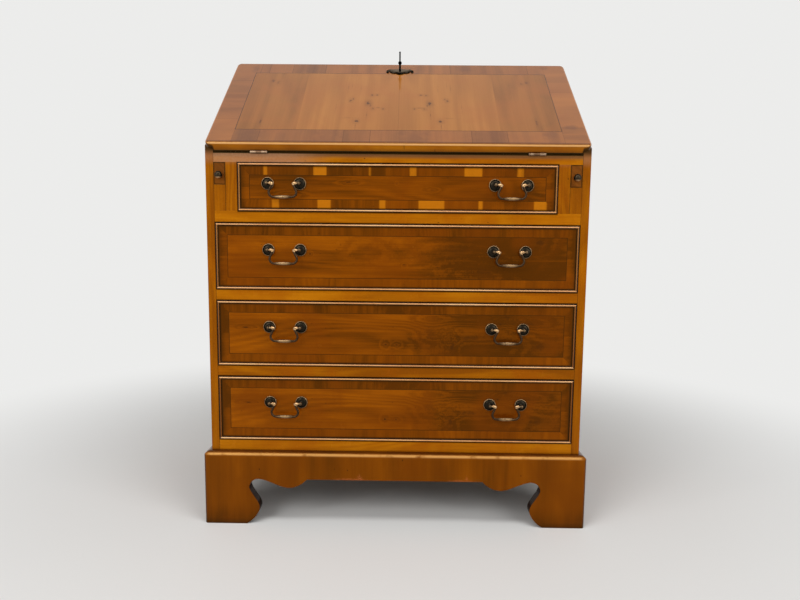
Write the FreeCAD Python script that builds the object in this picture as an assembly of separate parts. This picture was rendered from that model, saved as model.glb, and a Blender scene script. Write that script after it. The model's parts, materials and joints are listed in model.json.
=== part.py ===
import FreeCAD, Part
import math
import os
from FreeCAD import Placement, Rotation, Vector

os.makedirs("parts", exist_ok=True)

# All sizes are in millimetres. X runs across the front, +Y to the back, +Z up.
# Origin: centre of the overall box, on the floor. Left is the viewer's left, on the -X side.

# Carcase boards
CARCASE_WIDTH = 762.0
CARCASE_DEPTH = 435.0
GABLE_THICKNESS = 16.0
BOTTOM_THICKNESS = 23.0
RAIL_THICKNESS = 23.0
RAIL_DEPTH = 60.0
TOP_THICKNESS = 20.0
BACK_THICKNESS = 6.0
BACK_REBATE = 9.0
COMPARTMENT_HEIGHT = 214.0
RUNNER_WIDTH = 40.0
TONGUE_LENGTH = 6.0
TONGUE_THICKNESS = 10.0
TONGUE_SETBACK = 14.0
DOWEL_RADIUS = 4.0
DOWEL_LENGTH = 30.0
DOWEL_FIT = 0.05
DOWELS_PER_GABLE = 3
DOWEL_MARGIN = 45.0

# Plinth with shaped bracket feet
PLINTH_HEIGHT = 154.0
PLINTH_THICKNESS = 22.0
PLINTH_FRONT_PROJECTION = 14.3
PLINTH_SIDE_PROJECTION = 13.3
PLINTH_ROUND = 11.0
PLINTH_CORNER_ROUND = 6.0
APRON_DEPTH = 57.0
CORNER_BLOCK = 40.0
# Points of the sawn bracket: (distance from the end of the plinth, share of the height under the apron).
FOOT_CURVE = [(86.5, 0.0), (105.0, 0.155), (114.5, 0.371), (103.0, 0.619), (93.0, 0.809)]
ARCH_CURVE = [(93.0, 0.809), (98.0, 0.933), (113.0, 1.0)]
DROP_CURVE = [(113.0, 1.0), (152.5, 0.866), (177.5, 0.808), (198.0, 0.872), (213.0, 0.997)]

# Drawers
DEEP_OPENING = 133.5
SHALLOW_OPENING = 95.5
DEEP_DRAWERS = 3
DRAWER_SIDE_GAP = 1.2
DRAWER_TOP_GAP = 1.2
RUNNING_CLEARANCE = 0.3
DRAWER_LENGTH = 400.0
DRAWER_FRONT = 20.0
DRAWER_SIDE = 10.0
DRAWER_BOTTOM = 4.0
SIDE_DROP = 6.0
BOTTOM_LIFT = 9.0
GROOVE_DEPTH = 5.0
TAIL_LAP = 1.0
TAIL_PITCH = 34.0
TAIL_ROOT = 17.0
TAIL_TIP = 22.0
BEAD_WIDTH = 4.5
BEAD_DEPTH = 7.0
BEAD_PROUD = 2.6
STOP_SIZE = Vector(60.0, 25.0, 6.0)
STOP_SPREAD = 150.0

# Lopers that carry the open fall
LOPER_SLOT_WIDTH = 23.5
LOPER_SLOT_HEIGHT = 44.0
LOPER_PARTITION = 23.0
LOPER_CLEARANCE = 0.3
LOPER_LENGTH = 340.0
LOPER_KNOB_RADIUS = 7.5
LOPER_KNOB_LENGTH = 14.0
LOPER_KNOB_DROP = 3.5
KNOB_NECK = 3.2
KNOB_WAIST = 0.2
KNOB_BELLY = 0.55
KNOB_RIM_RADIUS = 5.8
KNOB_RIM = 1.6
KNOB_SPIGOT_RADIUS = 2.5
KNOB_SPIGOT_LENGTH = 12.0
SPIGOT_FIT = 0.05

# Fall: a lipped board that leans back when shut and lies level with the writing board when open
FALL_ANGLE = 41.2
FALL_THICKNESS = 20.0
FALL_LIP = 12.0
FALL_EDGE_ROUND = 4.0
FALL_CORNER_ROUND = 9.0
FALL_SIDE_INSET = 2.7
FALL_INNER_CLEARANCE = 1.5
FALL_SEAT_CLEARANCE = 0.3
FALL_TOP_CLEARANCE = 0.8
HINGE_GAP = 1.5
LEATHER_THICKNESS = 1.2
LEATHER_MARGIN = 48.0
LEATHER_TOP_MARGIN = 12.0

# Back-flap hinges
HINGE_FROM_END = 89.5
HINGE_LENGTH = 34.0
HINGE_LEAF = 1.6
HINGE_LEAF_DEPTH = 28.0
KNUCKLE_RADIUS = 3.0
KNUCKLE_SPACE = 0.4
KNUCKLE_GAP = 0.2
HINGE_PIN_RADIUS = 1.25
HINGE_PIN_FIT = 0.05

# Lock, key and escutcheon at the top of the fall
LOCK_WIDTH = 44.0
LOCK_HEIGHT = 34.0
LOCK_DEPTH = 9.0
LOCK_WALL = 1.2
KEY_BELOW_LOCK_END = 14.5
BOLT_WIDTH = 24.0
BOLT_TAIL = 27.0
BOLT_START = 3.0
BOLT_THICKNESS = 3.0
BOLT_THROW = 8.0
BOLT_CLEARANCE = 0.3
BOLT_WINDOW_HALF_WIDTH = 9.5
BOLT_WINDOW_ABOVE = 8.6
MORTISE_CLEARANCE = 0.8
STRIKE_THICKNESS = 1.5
STRIKE_WIDTH = 52.0
STRIKE_DEPTH = 22.0
STRIKE_SETBACK = 1.5
KEY_SHAFT_RADIUS = 2.2
KEY_HOLE_CLEARANCE = 0.4
KEY_BIT_LENGTH = 7.0
KEY_BIT_THICKNESS = 2.0
KEY_BIT_DEPTH = 5.6
KEY_COLLAR_RADIUS = 4.1
KEY_COLLAR_HEIGHT = 19.2
KEY_BOW_THICKNESS = 3.0
KEY_BOW_HALF_WIDTH = 11.0
KEY_BOW_HALF_HEIGHT = 11.2
KEY_BOW_RING = 3.6
KEY_FINIAL_RADIUS = 1.9
DRILL_PIN_RADIUS = 1.0
DRILL_PIN_FIT = 0.1
DRILL_PIN_LENGTH = 6.0
ESCUTCHEON_THICKNESS = 1.8

# Bail handles
HANDLE_FROM_END = 93.0
HANDLE_LIFT_DEEP = 13.0
HANDLE_LIFT_SHALLOW = 6.5
POST_SPACING = 64.0
POST_STAND = 13.0
BALL_RADIUS = 3.6
NECK_RADIUS = 2.3
STUD_RADIUS = 2.1
STUD_FIT = 0.1
ROSETTE_RADIUS = 12.5
ROSETTE_RIM = 1.3
ROSETTE_DOME = 3.4
ROSETTE_BULGE = 0.85
NUT_RADIUS = 4.6
NUT_THICKNESS = 4.0
PIVOT_RADIUS = 1.6
PIVOT_FIT = 0.08
PIVOT_REACH = 3.0
ACORN_GAP = 0.4
ACORN_LENGTH = 10.0
ACORN_RADIUS = 3.2
ACORN_TIP_RADIUS = 1.7
ACORN_FLANK = 0.93
ACORN_CUP = 0.75
WIRE_RADIUS = 2.3
NECK_INSET = 12.0
SHOULDER_INSET = 5.6
SHOULDER_DROP = 14.2
GRIP_DROP = 27.0
GRIP_RADIUS = 3.5

# Nest of pigeonholes inside the compartment
NEST_SETBACK = 252.0
NEST_BOARD = 8.0
NEST_DRAWER_OPENING = 58.0
PIGEONHOLES = 6
NEST_FRONT = 10.0
NEST_SIDE = 6.0
NEST_BOTTOM = 3.0
NEST_GAP = 0.8
NEST_GROOVE = 3.0
NEST_BOTTOM_LIFT = 4.0
NEST_DRAWER_LENGTH = 165.0
NEST_KNOB_RADIUS = 6.0
NEST_KNOB_LENGTH = 13.0

# Places worked out from the sizes above
HANDLE_REACH = POST_STAND + BALL_RADIUS
FRONT = (HANDLE_REACH - CARCASE_DEPTH) / 2
BACK = FRONT + CARCASE_DEPTH
INSIDE_BACK = BACK - BACK_THICKNESS
HALF_WIDTH = CARCASE_WIDTH / 2
INSIDE = HALF_WIDTH - GABLE_THICKNESS
PLINTH_HALF = HALF_WIDTH + PLINTH_SIDE_PROJECTION
PLINTH_FRONT = FRONT - PLINTH_FRONT_PROJECTION
APRON_LOW = PLINTH_HEIGHT - APRON_DEPTH
WRITING_BOARD_THICKNESS = FALL_THICKNESS
TAIL_LENGTH = DRAWER_FRONT - BEAD_DEPTH - TAIL_LAP

DRAWER_FLOOR = PLINTH_HEIGHT + BOTTOM_THICKNESS
TIER_PITCH = DEEP_OPENING + RAIL_THICKNESS
SHALLOW_FLOOR = DRAWER_FLOOR + DEEP_DRAWERS * TIER_PITCH
BED_UNDERSIDE = SHALLOW_FLOOR + SHALLOW_OPENING
BED_TOP = BED_UNDERSIDE + WRITING_BOARD_THICKNESS
TOP_UNDERSIDE = BED_TOP + COMPARTMENT_HEIGHT
TOP_LEVEL = TOP_UNDERSIDE + TOP_THICKNESS

LOPER_OUTER = INSIDE
LOPER_INNER = INSIDE - LOPER_SLOT_WIDTH
SHALLOW_HALF_OPENING = LOPER_INNER - LOPER_PARTITION
LOPER_FLOOR = BED_UNDERSIDE - LOPER_SLOT_HEIGHT
HANDLE_X = SHALLOW_HALF_OPENING - HANDLE_FROM_END

SLOPE = math.radians(FALL_ANGLE)
HINGE_AXIS = Vector(0, FRONT - HINGE_GAP, BED_TOP)
FALL_HALF_WIDTH = HALF_WIDTH - FALL_SIDE_INSET
FALL_INNER_HALF = INSIDE - FALL_INNER_CLEARANCE
HINGE_CENTRE_X = FALL_INNER_HALF - HINGE_FROM_END
LIP_START = FALL_THICKNESS - FALL_LIP
SEAT_PLANE = LIP_START - FALL_SEAT_CLEARANCE

NEST_FACE = FRONT + NEST_SETBACK
NEST_SHELF_LEVEL = BED_TOP + NEST_DRAWER_OPENING
PIGEONHOLE_PITCH = 2 * INSIDE / PIGEONHOLES


# Small helpers

def box(x0, x1, y0, y1, z0, z1):
    """A straight board between two corners."""
    return Part.makeBox(x1 - x0, y1 - y0, z1 - z0, Vector(x0, y0, z0))


def outline(points):
    """A closed face in the XZ plane. A pair is a straight run, two pairs are an arc through the first."""
    here = Vector(points[0][0], 0, points[0][1])
    first = here
    edges = []
    for step in points[1:]:
        if isinstance(step[0], tuple):
            middle = Vector(step[0][0], 0, step[0][1])
            there = Vector(step[1][0], 0, step[1][1])
            edges.append(Part.Arc(here, middle, there).toShape())
        else:
            there = Vector(step[0], 0, step[1])
            edges.append(Part.makeLine(here, there))
        here = there
    if (here - first).Length > 1e-6:
        edges.append(Part.makeLine(here, first))
    return Part.Face(Part.Wire(edges))


def turned(points, base, axis):
    """A turned piece: points are (radius, height along the axis)."""
    solid = outline(points).revolve(Vector(0, 0, 0), Vector(0, 0, 1), 360)
    solid.Placement = Placement(base, Rotation(Vector(0, 0, 1), axis))
    return solid


def prism(points, direction):
    """A straight prism over a list of corner points."""
    return Part.Face(Part.makePolygon(points + [points[0]])).extrude(direction)


def fused(solids):
    """One solid out of pieces that are cast or worked as one."""
    return solids[0].multiFuse(solids[1:]).removeSplitter()


def mirrored(shape):
    """The same shape on the other side of the centre line."""
    return shape.mirror(Vector(0, 0, 0), Vector(1, 0, 0))


def both_sides(shape):
    return [shape, mirrored(shape)]


def on_fall(shape):
    """Move a shape from the fall's own directions (across, up the slope, outwards) to its shut place."""
    shape.Placement = Placement(HINGE_AXIS, Rotation(Vector(1, 0, 0), FALL_ANGLE)).multiply(shape.Placement)
    return shape


def slope_height(y, outward):
    """Height, at a depth y, of the plane parallel to the fall that lies outward from its inner face."""
    return HINGE_AXIS.z + (y - HINGE_AXIS.y) * math.tan(SLOPE) + outward / math.cos(SLOPE)


def slope_depth(z, outward):
    """Depth, at a height z, of the same plane."""
    return HINGE_AXIS.y + (z - HINGE_AXIS.z - outward / math.cos(SLOPE)) / math.tan(SLOPE)


def slope_length(z, outward):
    """Distance up the slope from the hinge axis to a height z, on a plane outward from the inner face."""
    return (z - HINGE_AXIS.z - outward * math.cos(SLOPE)) / math.sin(SLOPE)


def save(name, *solids):
    shape = solids[0] if len(solids) == 1 else Part.makeCompound(list(solids))
    shape.exportStep("parts/" + name + ".step")
    print(name, "solids", len(shape.Solids), "valid", shape.isValid(), "cm3", round(shape.Volume / 1000, 2))


# Carcase

def tongued_board(front, back, low, high):
    """A board between the gables, with a stub tongue on each end that is housed in the gable."""
    board = box(-INSIDE, INSIDE, front, back, low, high)
    middle = (low + high) / 2
    half = TONGUE_THICKNESS / 2
    tongue = box(INSIDE, INSIDE + TONGUE_LENGTH, front + TONGUE_SETBACK, back, middle - half, middle + half)
    return fused([board] + both_sides(tongue))


def drawer_rail(tier):
    low = DRAWER_FLOOR + DEEP_OPENING + tier * TIER_PITCH
    return tongued_board(FRONT, FRONT + RAIL_DEPTH, low, low + RAIL_THICKNESS)


def drawer_runner(tier):
    """Right-hand runner behind a rail. The top one is wide, because it also carries the loper housing."""
    low = DRAWER_FLOOR + DEEP_OPENING + tier * TIER_PITCH
    reach = RUNNER_WIDTH
    if tier == DEEP_DRAWERS - 1:
        reach += INSIDE - SHALLOW_HALF_OPENING
    return box(INSIDE - reach, INSIDE, FRONT + RAIL_DEPTH, INSIDE_BACK, low, low + RAIL_THICKNESS)


def gable(housed):
    """Right-hand end panel: its front corner is cut to the slope, and it houses the boards' tongues."""
    profile = [
        Vector(INSIDE, FRONT, PLINTH_HEIGHT),
        Vector(INSIDE, FRONT, slope_height(FRONT, SEAT_PLANE)),
        Vector(INSIDE, slope_depth(TOP_UNDERSIDE, SEAT_PLANE), TOP_UNDERSIDE),
        Vector(INSIDE, BACK, TOP_UNDERSIDE),
        Vector(INSIDE, BACK, PLINTH_HEIGHT),
    ]
    panel = prism(profile, Vector(GABLE_THICKNESS, 0, 0))
    for board in housed:
        panel = panel.cut(board)
    for dowel in dowels(DOWEL_FIT):
        panel = panel.cut(dowel)
    return panel


def dowels(extra):
    """Right-hand row of dowels between a gable and the top."""
    first = slope_depth(TOP_UNDERSIDE, SEAT_PLANE) + DOWEL_MARGIN
    step = (BACK - DOWEL_MARGIN - first) / (DOWELS_PER_GABLE - 1)
    low = TOP_UNDERSIDE - DOWEL_LENGTH / 2
    places = [Vector(INSIDE + GABLE_THICKNESS / 2, first + step * i, low) for i in range(DOWELS_PER_GABLE)]
    return [Part.makeCylinder(DOWEL_RADIUS + extra, DOWEL_LENGTH, place) for place in places]


def top_board():
    profile = [
        Vector(-HALF_WIDTH, slope_depth(TOP_UNDERSIDE, SEAT_PLANE), TOP_UNDERSIDE),
        Vector(-HALF_WIDTH, slope_depth(TOP_LEVEL, SEAT_PLANE), TOP_LEVEL),
        Vector(-HALF_WIDTH, BACK, TOP_LEVEL),
        Vector(-HALF_WIDTH, BACK, TOP_UNDERSIDE),
    ]
    board = prism(profile, Vector(CARCASE_WIDTH, 0, 0))
    for dowel in dowels(DOWEL_FIT):
        board = board.cut(Part.makeCompound(both_sides(dowel)))
    return board.cut(strike_blank()).cut(bolt_mortise())


def back_panel():
    half = HALF_WIDTH - BACK_REBATE
    return box(-half, half, INSIDE_BACK, BACK, PLINTH_HEIGHT, TOP_UNDERSIDE)


def loper_partition():
    return box(SHALLOW_HALF_OPENING, LOPER_INNER, FRONT, INSIDE_BACK, SHALLOW_FLOOR, BED_UNDERSIDE)


def loper_carrier():
    return box(LOPER_INNER, LOPER_OUTER, FRONT, INSIDE_BACK, SHALLOW_FLOOR, LOPER_FLOOR)


def drawer_stop(tier):
    """Right-hand block behind a drawer front, on the rail or on the bottom board."""
    y0 = FRONT + DRAWER_FRONT + RUNNING_CLEARANCE
    z0 = DRAWER_FLOOR + tier * TIER_PITCH
    x0 = STOP_SPREAD - STOP_SIZE.x / 2
    return box(x0, x0 + STOP_SIZE.x, y0, y0 + STOP_SIZE.y, z0, z0 + STOP_SIZE.z)


# Plinth

def sawn_curve(points, place):
    """One smooth stretch of the bracket, through its points."""
    curve = Part.BSplineCurve()
    curve.interpolate([place(along, share * APRON_LOW) for along, share in points])
    return curve.toShape()


def bracket_cut(length, curves, thickness):
    """Tool that saws the opening between two feet out of a plinth board that lies along X from 0."""
    edges = []
    for points in curves:
        edges.append(sawn_curve(points, lambda along, height: Vector(along, 0, height)))
        edges.append(sawn_curve(points, lambda along, height: Vector(length - along, 0, height)))
    for along, share in (curves[0][0], curves[-1][-1]):
        height = share * APRON_LOW
        edges.append(Part.makeLine(Vector(along, 0, height), Vector(length - along, 0, height)))
    wire = Part.Wire(Part.__sortEdges__(edges))
    return Part.Face(wire).extrude(Vector(0, thickness, 0))


def plinth_board(length, curves):
    """Shaped board along X from 0, its outer face at y = 0 and its outer top edge rounded."""
    board = box(0, length, 0, PLINTH_THICKNESS, 0, PLINTH_HEIGHT)
    top_edge = [e for e in board.Edges if e.BoundBox.YMax < 1e-6 and e.BoundBox.ZMin > PLINTH_HEIGHT - 1e-6]
    return board.makeFillet(PLINTH_ROUND, top_edge).cut(bracket_cut(length, curves, PLINTH_THICKNESS))


def plinth_hull():
    """The whole plinth's outside with its two front corners eased, which trims each board after its mitre."""
    hull = box(-PLINTH_HALF, PLINTH_HALF, PLINTH_FRONT, BACK, 0, PLINTH_HEIGHT)
    upright = [e for e in hull.Edges if e.BoundBox.ZLength > PLINTH_HEIGHT / 2 and e.BoundBox.YMax < 0]
    return hull.makeFillet(PLINTH_CORNER_ROUND, upright)


def mitre_waste():
    """Wedge that is cut off the start of a board for its mitre."""
    corner = [Vector(0, 0, 0), Vector(0, PLINTH_THICKNESS, 0), Vector(PLINTH_THICKNESS, PLINTH_THICKNESS, 0)]
    return prism(corner, Vector(0, 0, PLINTH_HEIGHT))


def plinth_front():
    length = 2 * PLINTH_HALF
    board = plinth_board(length, [FOOT_CURVE, ARCH_CURVE, DROP_CURVE]).cut(mitre_waste())
    board.translate(Vector(-PLINTH_HALF, PLINTH_FRONT, 0))
    other_mitre = mitre_waste()
    other_mitre.translate(Vector(-PLINTH_HALF, PLINTH_FRONT, 0))
    return board.cut(mirrored(other_mitre)).common(plinth_hull())


def plinth_right():
    length = BACK - PLINTH_FRONT
    board = plinth_board(length, [FOOT_CURVE, ARCH_CURVE]).cut(mitre_waste())
    board.Placement = Placement(Vector(PLINTH_HALF, PLINTH_FRONT, 0), Rotation(Vector(0, 0, 1), 90))
    return board.common(plinth_hull())


def plinth_back():
    half = PLINTH_HALF - PLINTH_THICKNESS
    return box(-half, half, BACK - PLINTH_THICKNESS, BACK, APRON_LOW, PLINTH_HEIGHT)


def plinth_blocks():
    x1 = PLINTH_HALF - PLINTH_THICKNESS
    y0 = PLINTH_FRONT + PLINTH_THICKNESS
    y1 = BACK - PLINTH_THICKNESS
    front = box(x1 - CORNER_BLOCK, x1, y0, y0 + CORNER_BLOCK, 0, PLINTH_HEIGHT)
    rear = box(x1 - CORNER_BLOCK, x1, y1 - CORNER_BLOCK, y1, 0, PLINTH_HEIGHT)
    return both_sides(front) + both_sides(rear)


# Hinges between the writing board and the fall. They are drawn in the directions of a leaf that lies flat
# along +Y, with the hinge axis along X through the origin.

def knuckle_spans():
    """Start and end of the three knuckles along the axis: two for the board, the middle one for the fall."""
    start = HINGE_CENTRE_X - HINGE_LENGTH / 2
    third = HINGE_LENGTH / 3
    return [(start + third * i, start + third * (i + 1) - KNUCKLE_GAP) for i in range(3)]


def hinge_leaf(spans, low, high):
    """Leaf between two levels, with the knuckles that belong to it."""
    start = HINGE_CENTRE_X - HINGE_LENGTH / 2
    inner = KNUCKLE_RADIUS + KNUCKLE_SPACE
    pieces = [box(start, start + HINGE_LENGTH, inner, HINGE_LEAF_DEPTH, low, high)]
    for x0, x1 in spans:
        pieces.append(Part.makeCylinder(KNUCKLE_RADIUS, x1 - x0, Vector(x0, 0, 0), Vector(1, 0, 0)))
        pieces.append(box(x0, x1, 0, inner, low, high))
    bore_radius = HINGE_PIN_RADIUS + HINGE_PIN_FIT
    bore = Part.makeCylinder(bore_radius, HINGE_LENGTH, Vector(start, 0, 0), Vector(1, 0, 0))
    return fused(pieces).cut(bore)


def hinge_recess(low, high):
    """What a leaf and both its knuckles take out of the wood."""
    start = HINGE_CENTRE_X - HINGE_LENGTH / 2
    notch_start = Vector(start - KNUCKLE_SPACE, 0, 0)
    notch_length = HINGE_LENGTH + 2 * KNUCKLE_SPACE
    notch = Part.makeCylinder(KNUCKLE_RADIUS + KNUCKLE_SPACE, notch_length, notch_start, Vector(1, 0, 0))
    return fused([box(start, start + HINGE_LENGTH, 0, HINGE_LEAF_DEPTH, low, high), notch])


def board_hinge_leaf():
    spans = knuckle_spans()
    leaf = hinge_leaf([spans[0], spans[2]], -HINGE_LEAF, 0)
    leaf.translate(HINGE_AXIS)
    return leaf


def fall_hinge_leaf():
    return on_fall(hinge_leaf([knuckle_spans()[1]], 0, HINGE_LEAF))


def hinge_pin():
    start = HINGE_CENTRE_X - HINGE_LENGTH / 2
    length = HINGE_LENGTH - KNUCKLE_GAP
    return Part.makeCylinder(HINGE_PIN_RADIUS, length, HINGE_AXIS + Vector(start, 0, 0), Vector(1, 0, 0))


def writing_board():
    board = tongued_board(FRONT, INSIDE_BACK, BED_UNDERSIDE, BED_TOP)
    for recess in both_sides(hinge_recess(-HINGE_LEAF, 0)):
        recess.translate(HINGE_AXIS)
        board = board.cut(recess)
    return board


# Fall, drawn across X, up the slope in Y and outwards in Z, then laid on its slope

FALL_INNER_LENGTH = slope_length(TOP_UNDERSIDE, LIP_START) - FALL_TOP_CLEARANCE
KEY_UP_SLOPE = FALL_INNER_LENGTH - KEY_BELOW_LOCK_END
LOCK_LOW = FALL_INNER_LENGTH - LOCK_HEIGHT
BOLT_END = FALL_INNER_LENGTH - BOLT_CLEARANCE


def leather():
    """Writing leather let into the inner face, between the hinges and the lock."""
    half = FALL_INNER_HALF - LEATHER_MARGIN
    return box(-half, half, LEATHER_MARGIN, LOCK_LOW - LEATHER_TOP_MARGIN, 0, LEATHER_THICKNESS)


def key_passage(low, high):
    """Keyhole through a board or plate: a round hole with a slot below it for the bit."""
    radius = KEY_SHAFT_RADIUS + KEY_HOLE_CLEARANCE
    half_slot = KEY_BIT_THICKNESS / 2 + KEY_HOLE_CLEARANCE
    slot_end = KEY_UP_SLOPE - KEY_BIT_LENGTH - KEY_HOLE_CLEARANCE
    round_hole = Part.makeCylinder(radius, high - low, Vector(0, KEY_UP_SLOPE, low))
    return fused([round_hole, box(-half_slot, half_slot, slot_end, KEY_UP_SLOPE, low, high)])


def fall_panel():
    lip = [
        Vector(-FALL_HALF_WIDTH, HINGE_GAP, LIP_START),
        Vector(-FALL_HALF_WIDTH, HINGE_GAP, FALL_THICKNESS),
        Vector(-FALL_HALF_WIDTH, slope_length(TOP_LEVEL, FALL_THICKNESS), FALL_THICKNESS),
        Vector(-FALL_HALF_WIDTH, slope_length(TOP_LEVEL, LIP_START), LIP_START),
    ]
    outer = prism(lip, Vector(2 * FALL_HALF_WIDTH, 0, 0))
    corners = [e for e in outer.Edges if e.BoundBox.XLength < 1e-6 and e.BoundBox.ZLength > FALL_LIP / 2]
    outer = outer.makeFillet(FALL_CORNER_ROUND, corners)
    rim = [e for e in outer.Edges if e.BoundBox.ZMin > FALL_THICKNESS - 1e-6]
    outer = outer.makeFillet(FALL_EDGE_ROUND, rim)
    inner = box(-FALL_INNER_HALF, FALL_INNER_HALF, HINGE_GAP, FALL_INNER_LENGTH, 0, LIP_START)
    panel = fused([outer, inner])
    lock_pocket = box(-LOCK_WIDTH / 2, LOCK_WIDTH / 2, LOCK_LOW, FALL_INNER_LENGTH, 0, LOCK_DEPTH)
    cuts = both_sides(hinge_recess(0, HINGE_LEAF)) + [leather(), lock_pocket]
    cuts.append(key_passage(LOCK_DEPTH, FALL_THICKNESS))
    for cut in cuts:
        panel = panel.cut(cut)
    return on_fall(panel)


def lock_case():
    """Hollow case with the bolt's way out at its end, a keyhole and a drill pin for the pipe key."""
    half = LOCK_WIDTH / 2
    case = box(-half, half, LOCK_LOW, FALL_INNER_LENGTH, 0, LOCK_DEPTH)
    inside = half - LOCK_WALL
    end_wall = FALL_INNER_LENGTH - LOCK_WALL
    hollow = box(-inside, inside, LOCK_LOW + LOCK_WALL, end_wall, LOCK_WALL, LOCK_DEPTH - LOCK_WALL)
    slot = bolt_blank(FALL_INNER_LENGTH - 2 * LOCK_WALL, FALL_INNER_LENGTH, BOLT_CLEARANCE)
    case = case.cut(hollow).cut(slot).cut(key_passage(LOCK_DEPTH - LOCK_WALL, LOCK_DEPTH))
    pin = Part.makeCylinder(DRILL_PIN_RADIUS, DRILL_PIN_LENGTH, Vector(0, KEY_UP_SLOPE, LOCK_WALL / 2))
    return on_fall(fused([case, pin]))


def bolt_blank(start, end, extra):
    half = BOLT_WIDTH / 2 + extra
    return box(-half, half, start, end, BOLT_START - extra, BOLT_START + BOLT_THICKNESS + extra)


def lock_bolt():
    """Sliding plate with a window in which the key's bit turns."""
    plate = bolt_blank(BOLT_END - BOLT_TAIL, BOLT_END, 0)
    half = BOLT_WINDOW_HALF_WIDTH
    low = KEY_UP_SLOPE - KEY_SHAFT_RADIUS - BOLT_CLEARANCE - BOLT_THROW
    high = KEY_UP_SLOPE + BOLT_WINDOW_ABOVE
    window = box(-half, half, low, high, 0, LOCK_DEPTH)
    return on_fall(plate.cut(window))


def bolt_mortise():
    """Room for the thrown bolt in the top board and its strike plate."""
    return on_fall(bolt_blank(BOLT_END, BOLT_END + BOLT_THROW + MORTISE_CLEARANCE, MORTISE_CLEARANCE))


def strike_blank():
    y0 = slope_depth(TOP_UNDERSIDE, SEAT_PLANE) + STRIKE_SETBACK
    half = STRIKE_WIDTH / 2
    return box(-half, half, y0, y0 + STRIKE_DEPTH, TOP_UNDERSIDE, TOP_UNDERSIDE + STRIKE_THICKNESS)


def key():
    """Pipe key, drawn with its shaft outwards along Z; the bow stands in the plane of the bit."""
    centre = Vector(0, KEY_UP_SLOPE, 0)
    low = LOCK_WALL + BOLT_CLEARANCE
    collar = FALL_THICKNESS + KEY_COLLAR_HEIGHT
    shaft = Part.makeCylinder(KEY_SHAFT_RADIUS, collar - low, centre + Vector(0, 0, low))
    half_bit = KEY_BIT_THICKNESS / 2
    tip = KEY_UP_SLOPE - KEY_BIT_LENGTH
    bit = box(-half_bit, half_bit, tip, KEY_UP_SLOPE, low, low + KEY_BIT_DEPTH)
    bead = Part.makeSphere(KEY_COLLAR_RADIUS, centre + Vector(0, 0, collar))
    bow_centre = centre + Vector(0, 0, collar + KEY_BOW_HALF_HEIGHT + KEY_COLLAR_RADIUS / 2)
    ring = bow_slab(bow_centre, 0).cut(bow_slab(bow_centre, KEY_BOW_RING))
    finial = Part.makeSphere(KEY_FINIAL_RADIUS, bow_centre + Vector(0, 0, KEY_BOW_HALF_HEIGHT))
    pipe = Part.makeCylinder(DRILL_PIN_RADIUS + DRILL_PIN_FIT, DRILL_PIN_LENGTH, centre + Vector(0, 0, low))
    return on_fall(fused([shaft, bit, bead, ring, finial]).cut(pipe))


def bow_slab(centre, inset):
    """Oval slab for the key's bow: its long way is outwards, its short way up the slope."""
    tall = KEY_BOW_HALF_HEIGHT - inset
    wide = KEY_BOW_HALF_WIDTH - inset
    start = centre - Vector(KEY_BOW_THICKNESS / 2, 0, 0)
    oval = Part.Ellipse(start + Vector(0, 0, tall), start + Vector(0, wide, 0), start).toShape()
    return Part.Face(Part.Wire(oval)).extrude(Vector(KEY_BOW_THICKNESS, 0, 0))


def escutcheon():
    """Pierced plate in the shape of spread wings, with a scalloped lower edge and turned-down tips."""
    half = [
        (0.0, -18.0),
        ((5.6, -16.4), (8.6, -12.0)),
        ((15.5, -12.4), (23.4, -2.6)),
        ((25.6, -6.6), (26.4, -11.4)),
        (30.4, -9.0),
        ((28.4, 1.4), (21.5, 5.4)),
        ((11.0, 5.0), (0.0, 8.6)),
    ]
    other_half = []
    for i in range(len(half) - 1, 0, -1):
        end = half[i - 1] if not isinstance(half[i - 1][0], tuple) else half[i - 1][1]
        target = (-end[0], end[1])
        bent = isinstance(half[i][0], tuple)
        other_half.append(((-half[i][0][0], half[i][0][1]), target) if bent else target)
    plate = outline(half + other_half).extrude(Vector(0, ESCUTCHEON_THICKNESS, 0))
    plate.Placement = Placement(
        Vector(0, KEY_UP_SLOPE, FALL_THICKNESS + ESCUTCHEON_THICKNESS), Rotation(Vector(1, 0, 0), -90)
    )
    return on_fall(plate.cut(key_passage(FALL_THICKNESS, FALL_THICKNESS + ESCUTCHEON_THICKNESS)))


# Lopers

LOPER_X = (LOPER_INNER + LOPER_OUTER) / 2
LOPER_Z = (LOPER_FLOOR + BED_UNDERSIDE) / 2
LOPER_KNOB_PLACE = Vector(LOPER_X, FRONT, LOPER_Z - LOPER_KNOB_DROP)


def loper():
    low = LOPER_FLOOR + LOPER_CLEARANCE
    high = BED_UNDERSIDE - LOPER_CLEARANCE
    half = LOPER_SLOT_WIDTH / 2 - LOPER_CLEARANCE
    bar = box(LOPER_X - half, LOPER_X + half, FRONT, FRONT + LOPER_LENGTH, low, high)
    return bar.cut(Part.makeCylinder(
        KNOB_SPIGOT_RADIUS + SPIGOT_FIT, KNOB_SPIGOT_LENGTH, LOPER_KNOB_PLACE, Vector(0, 1, 0)
    ))


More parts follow.
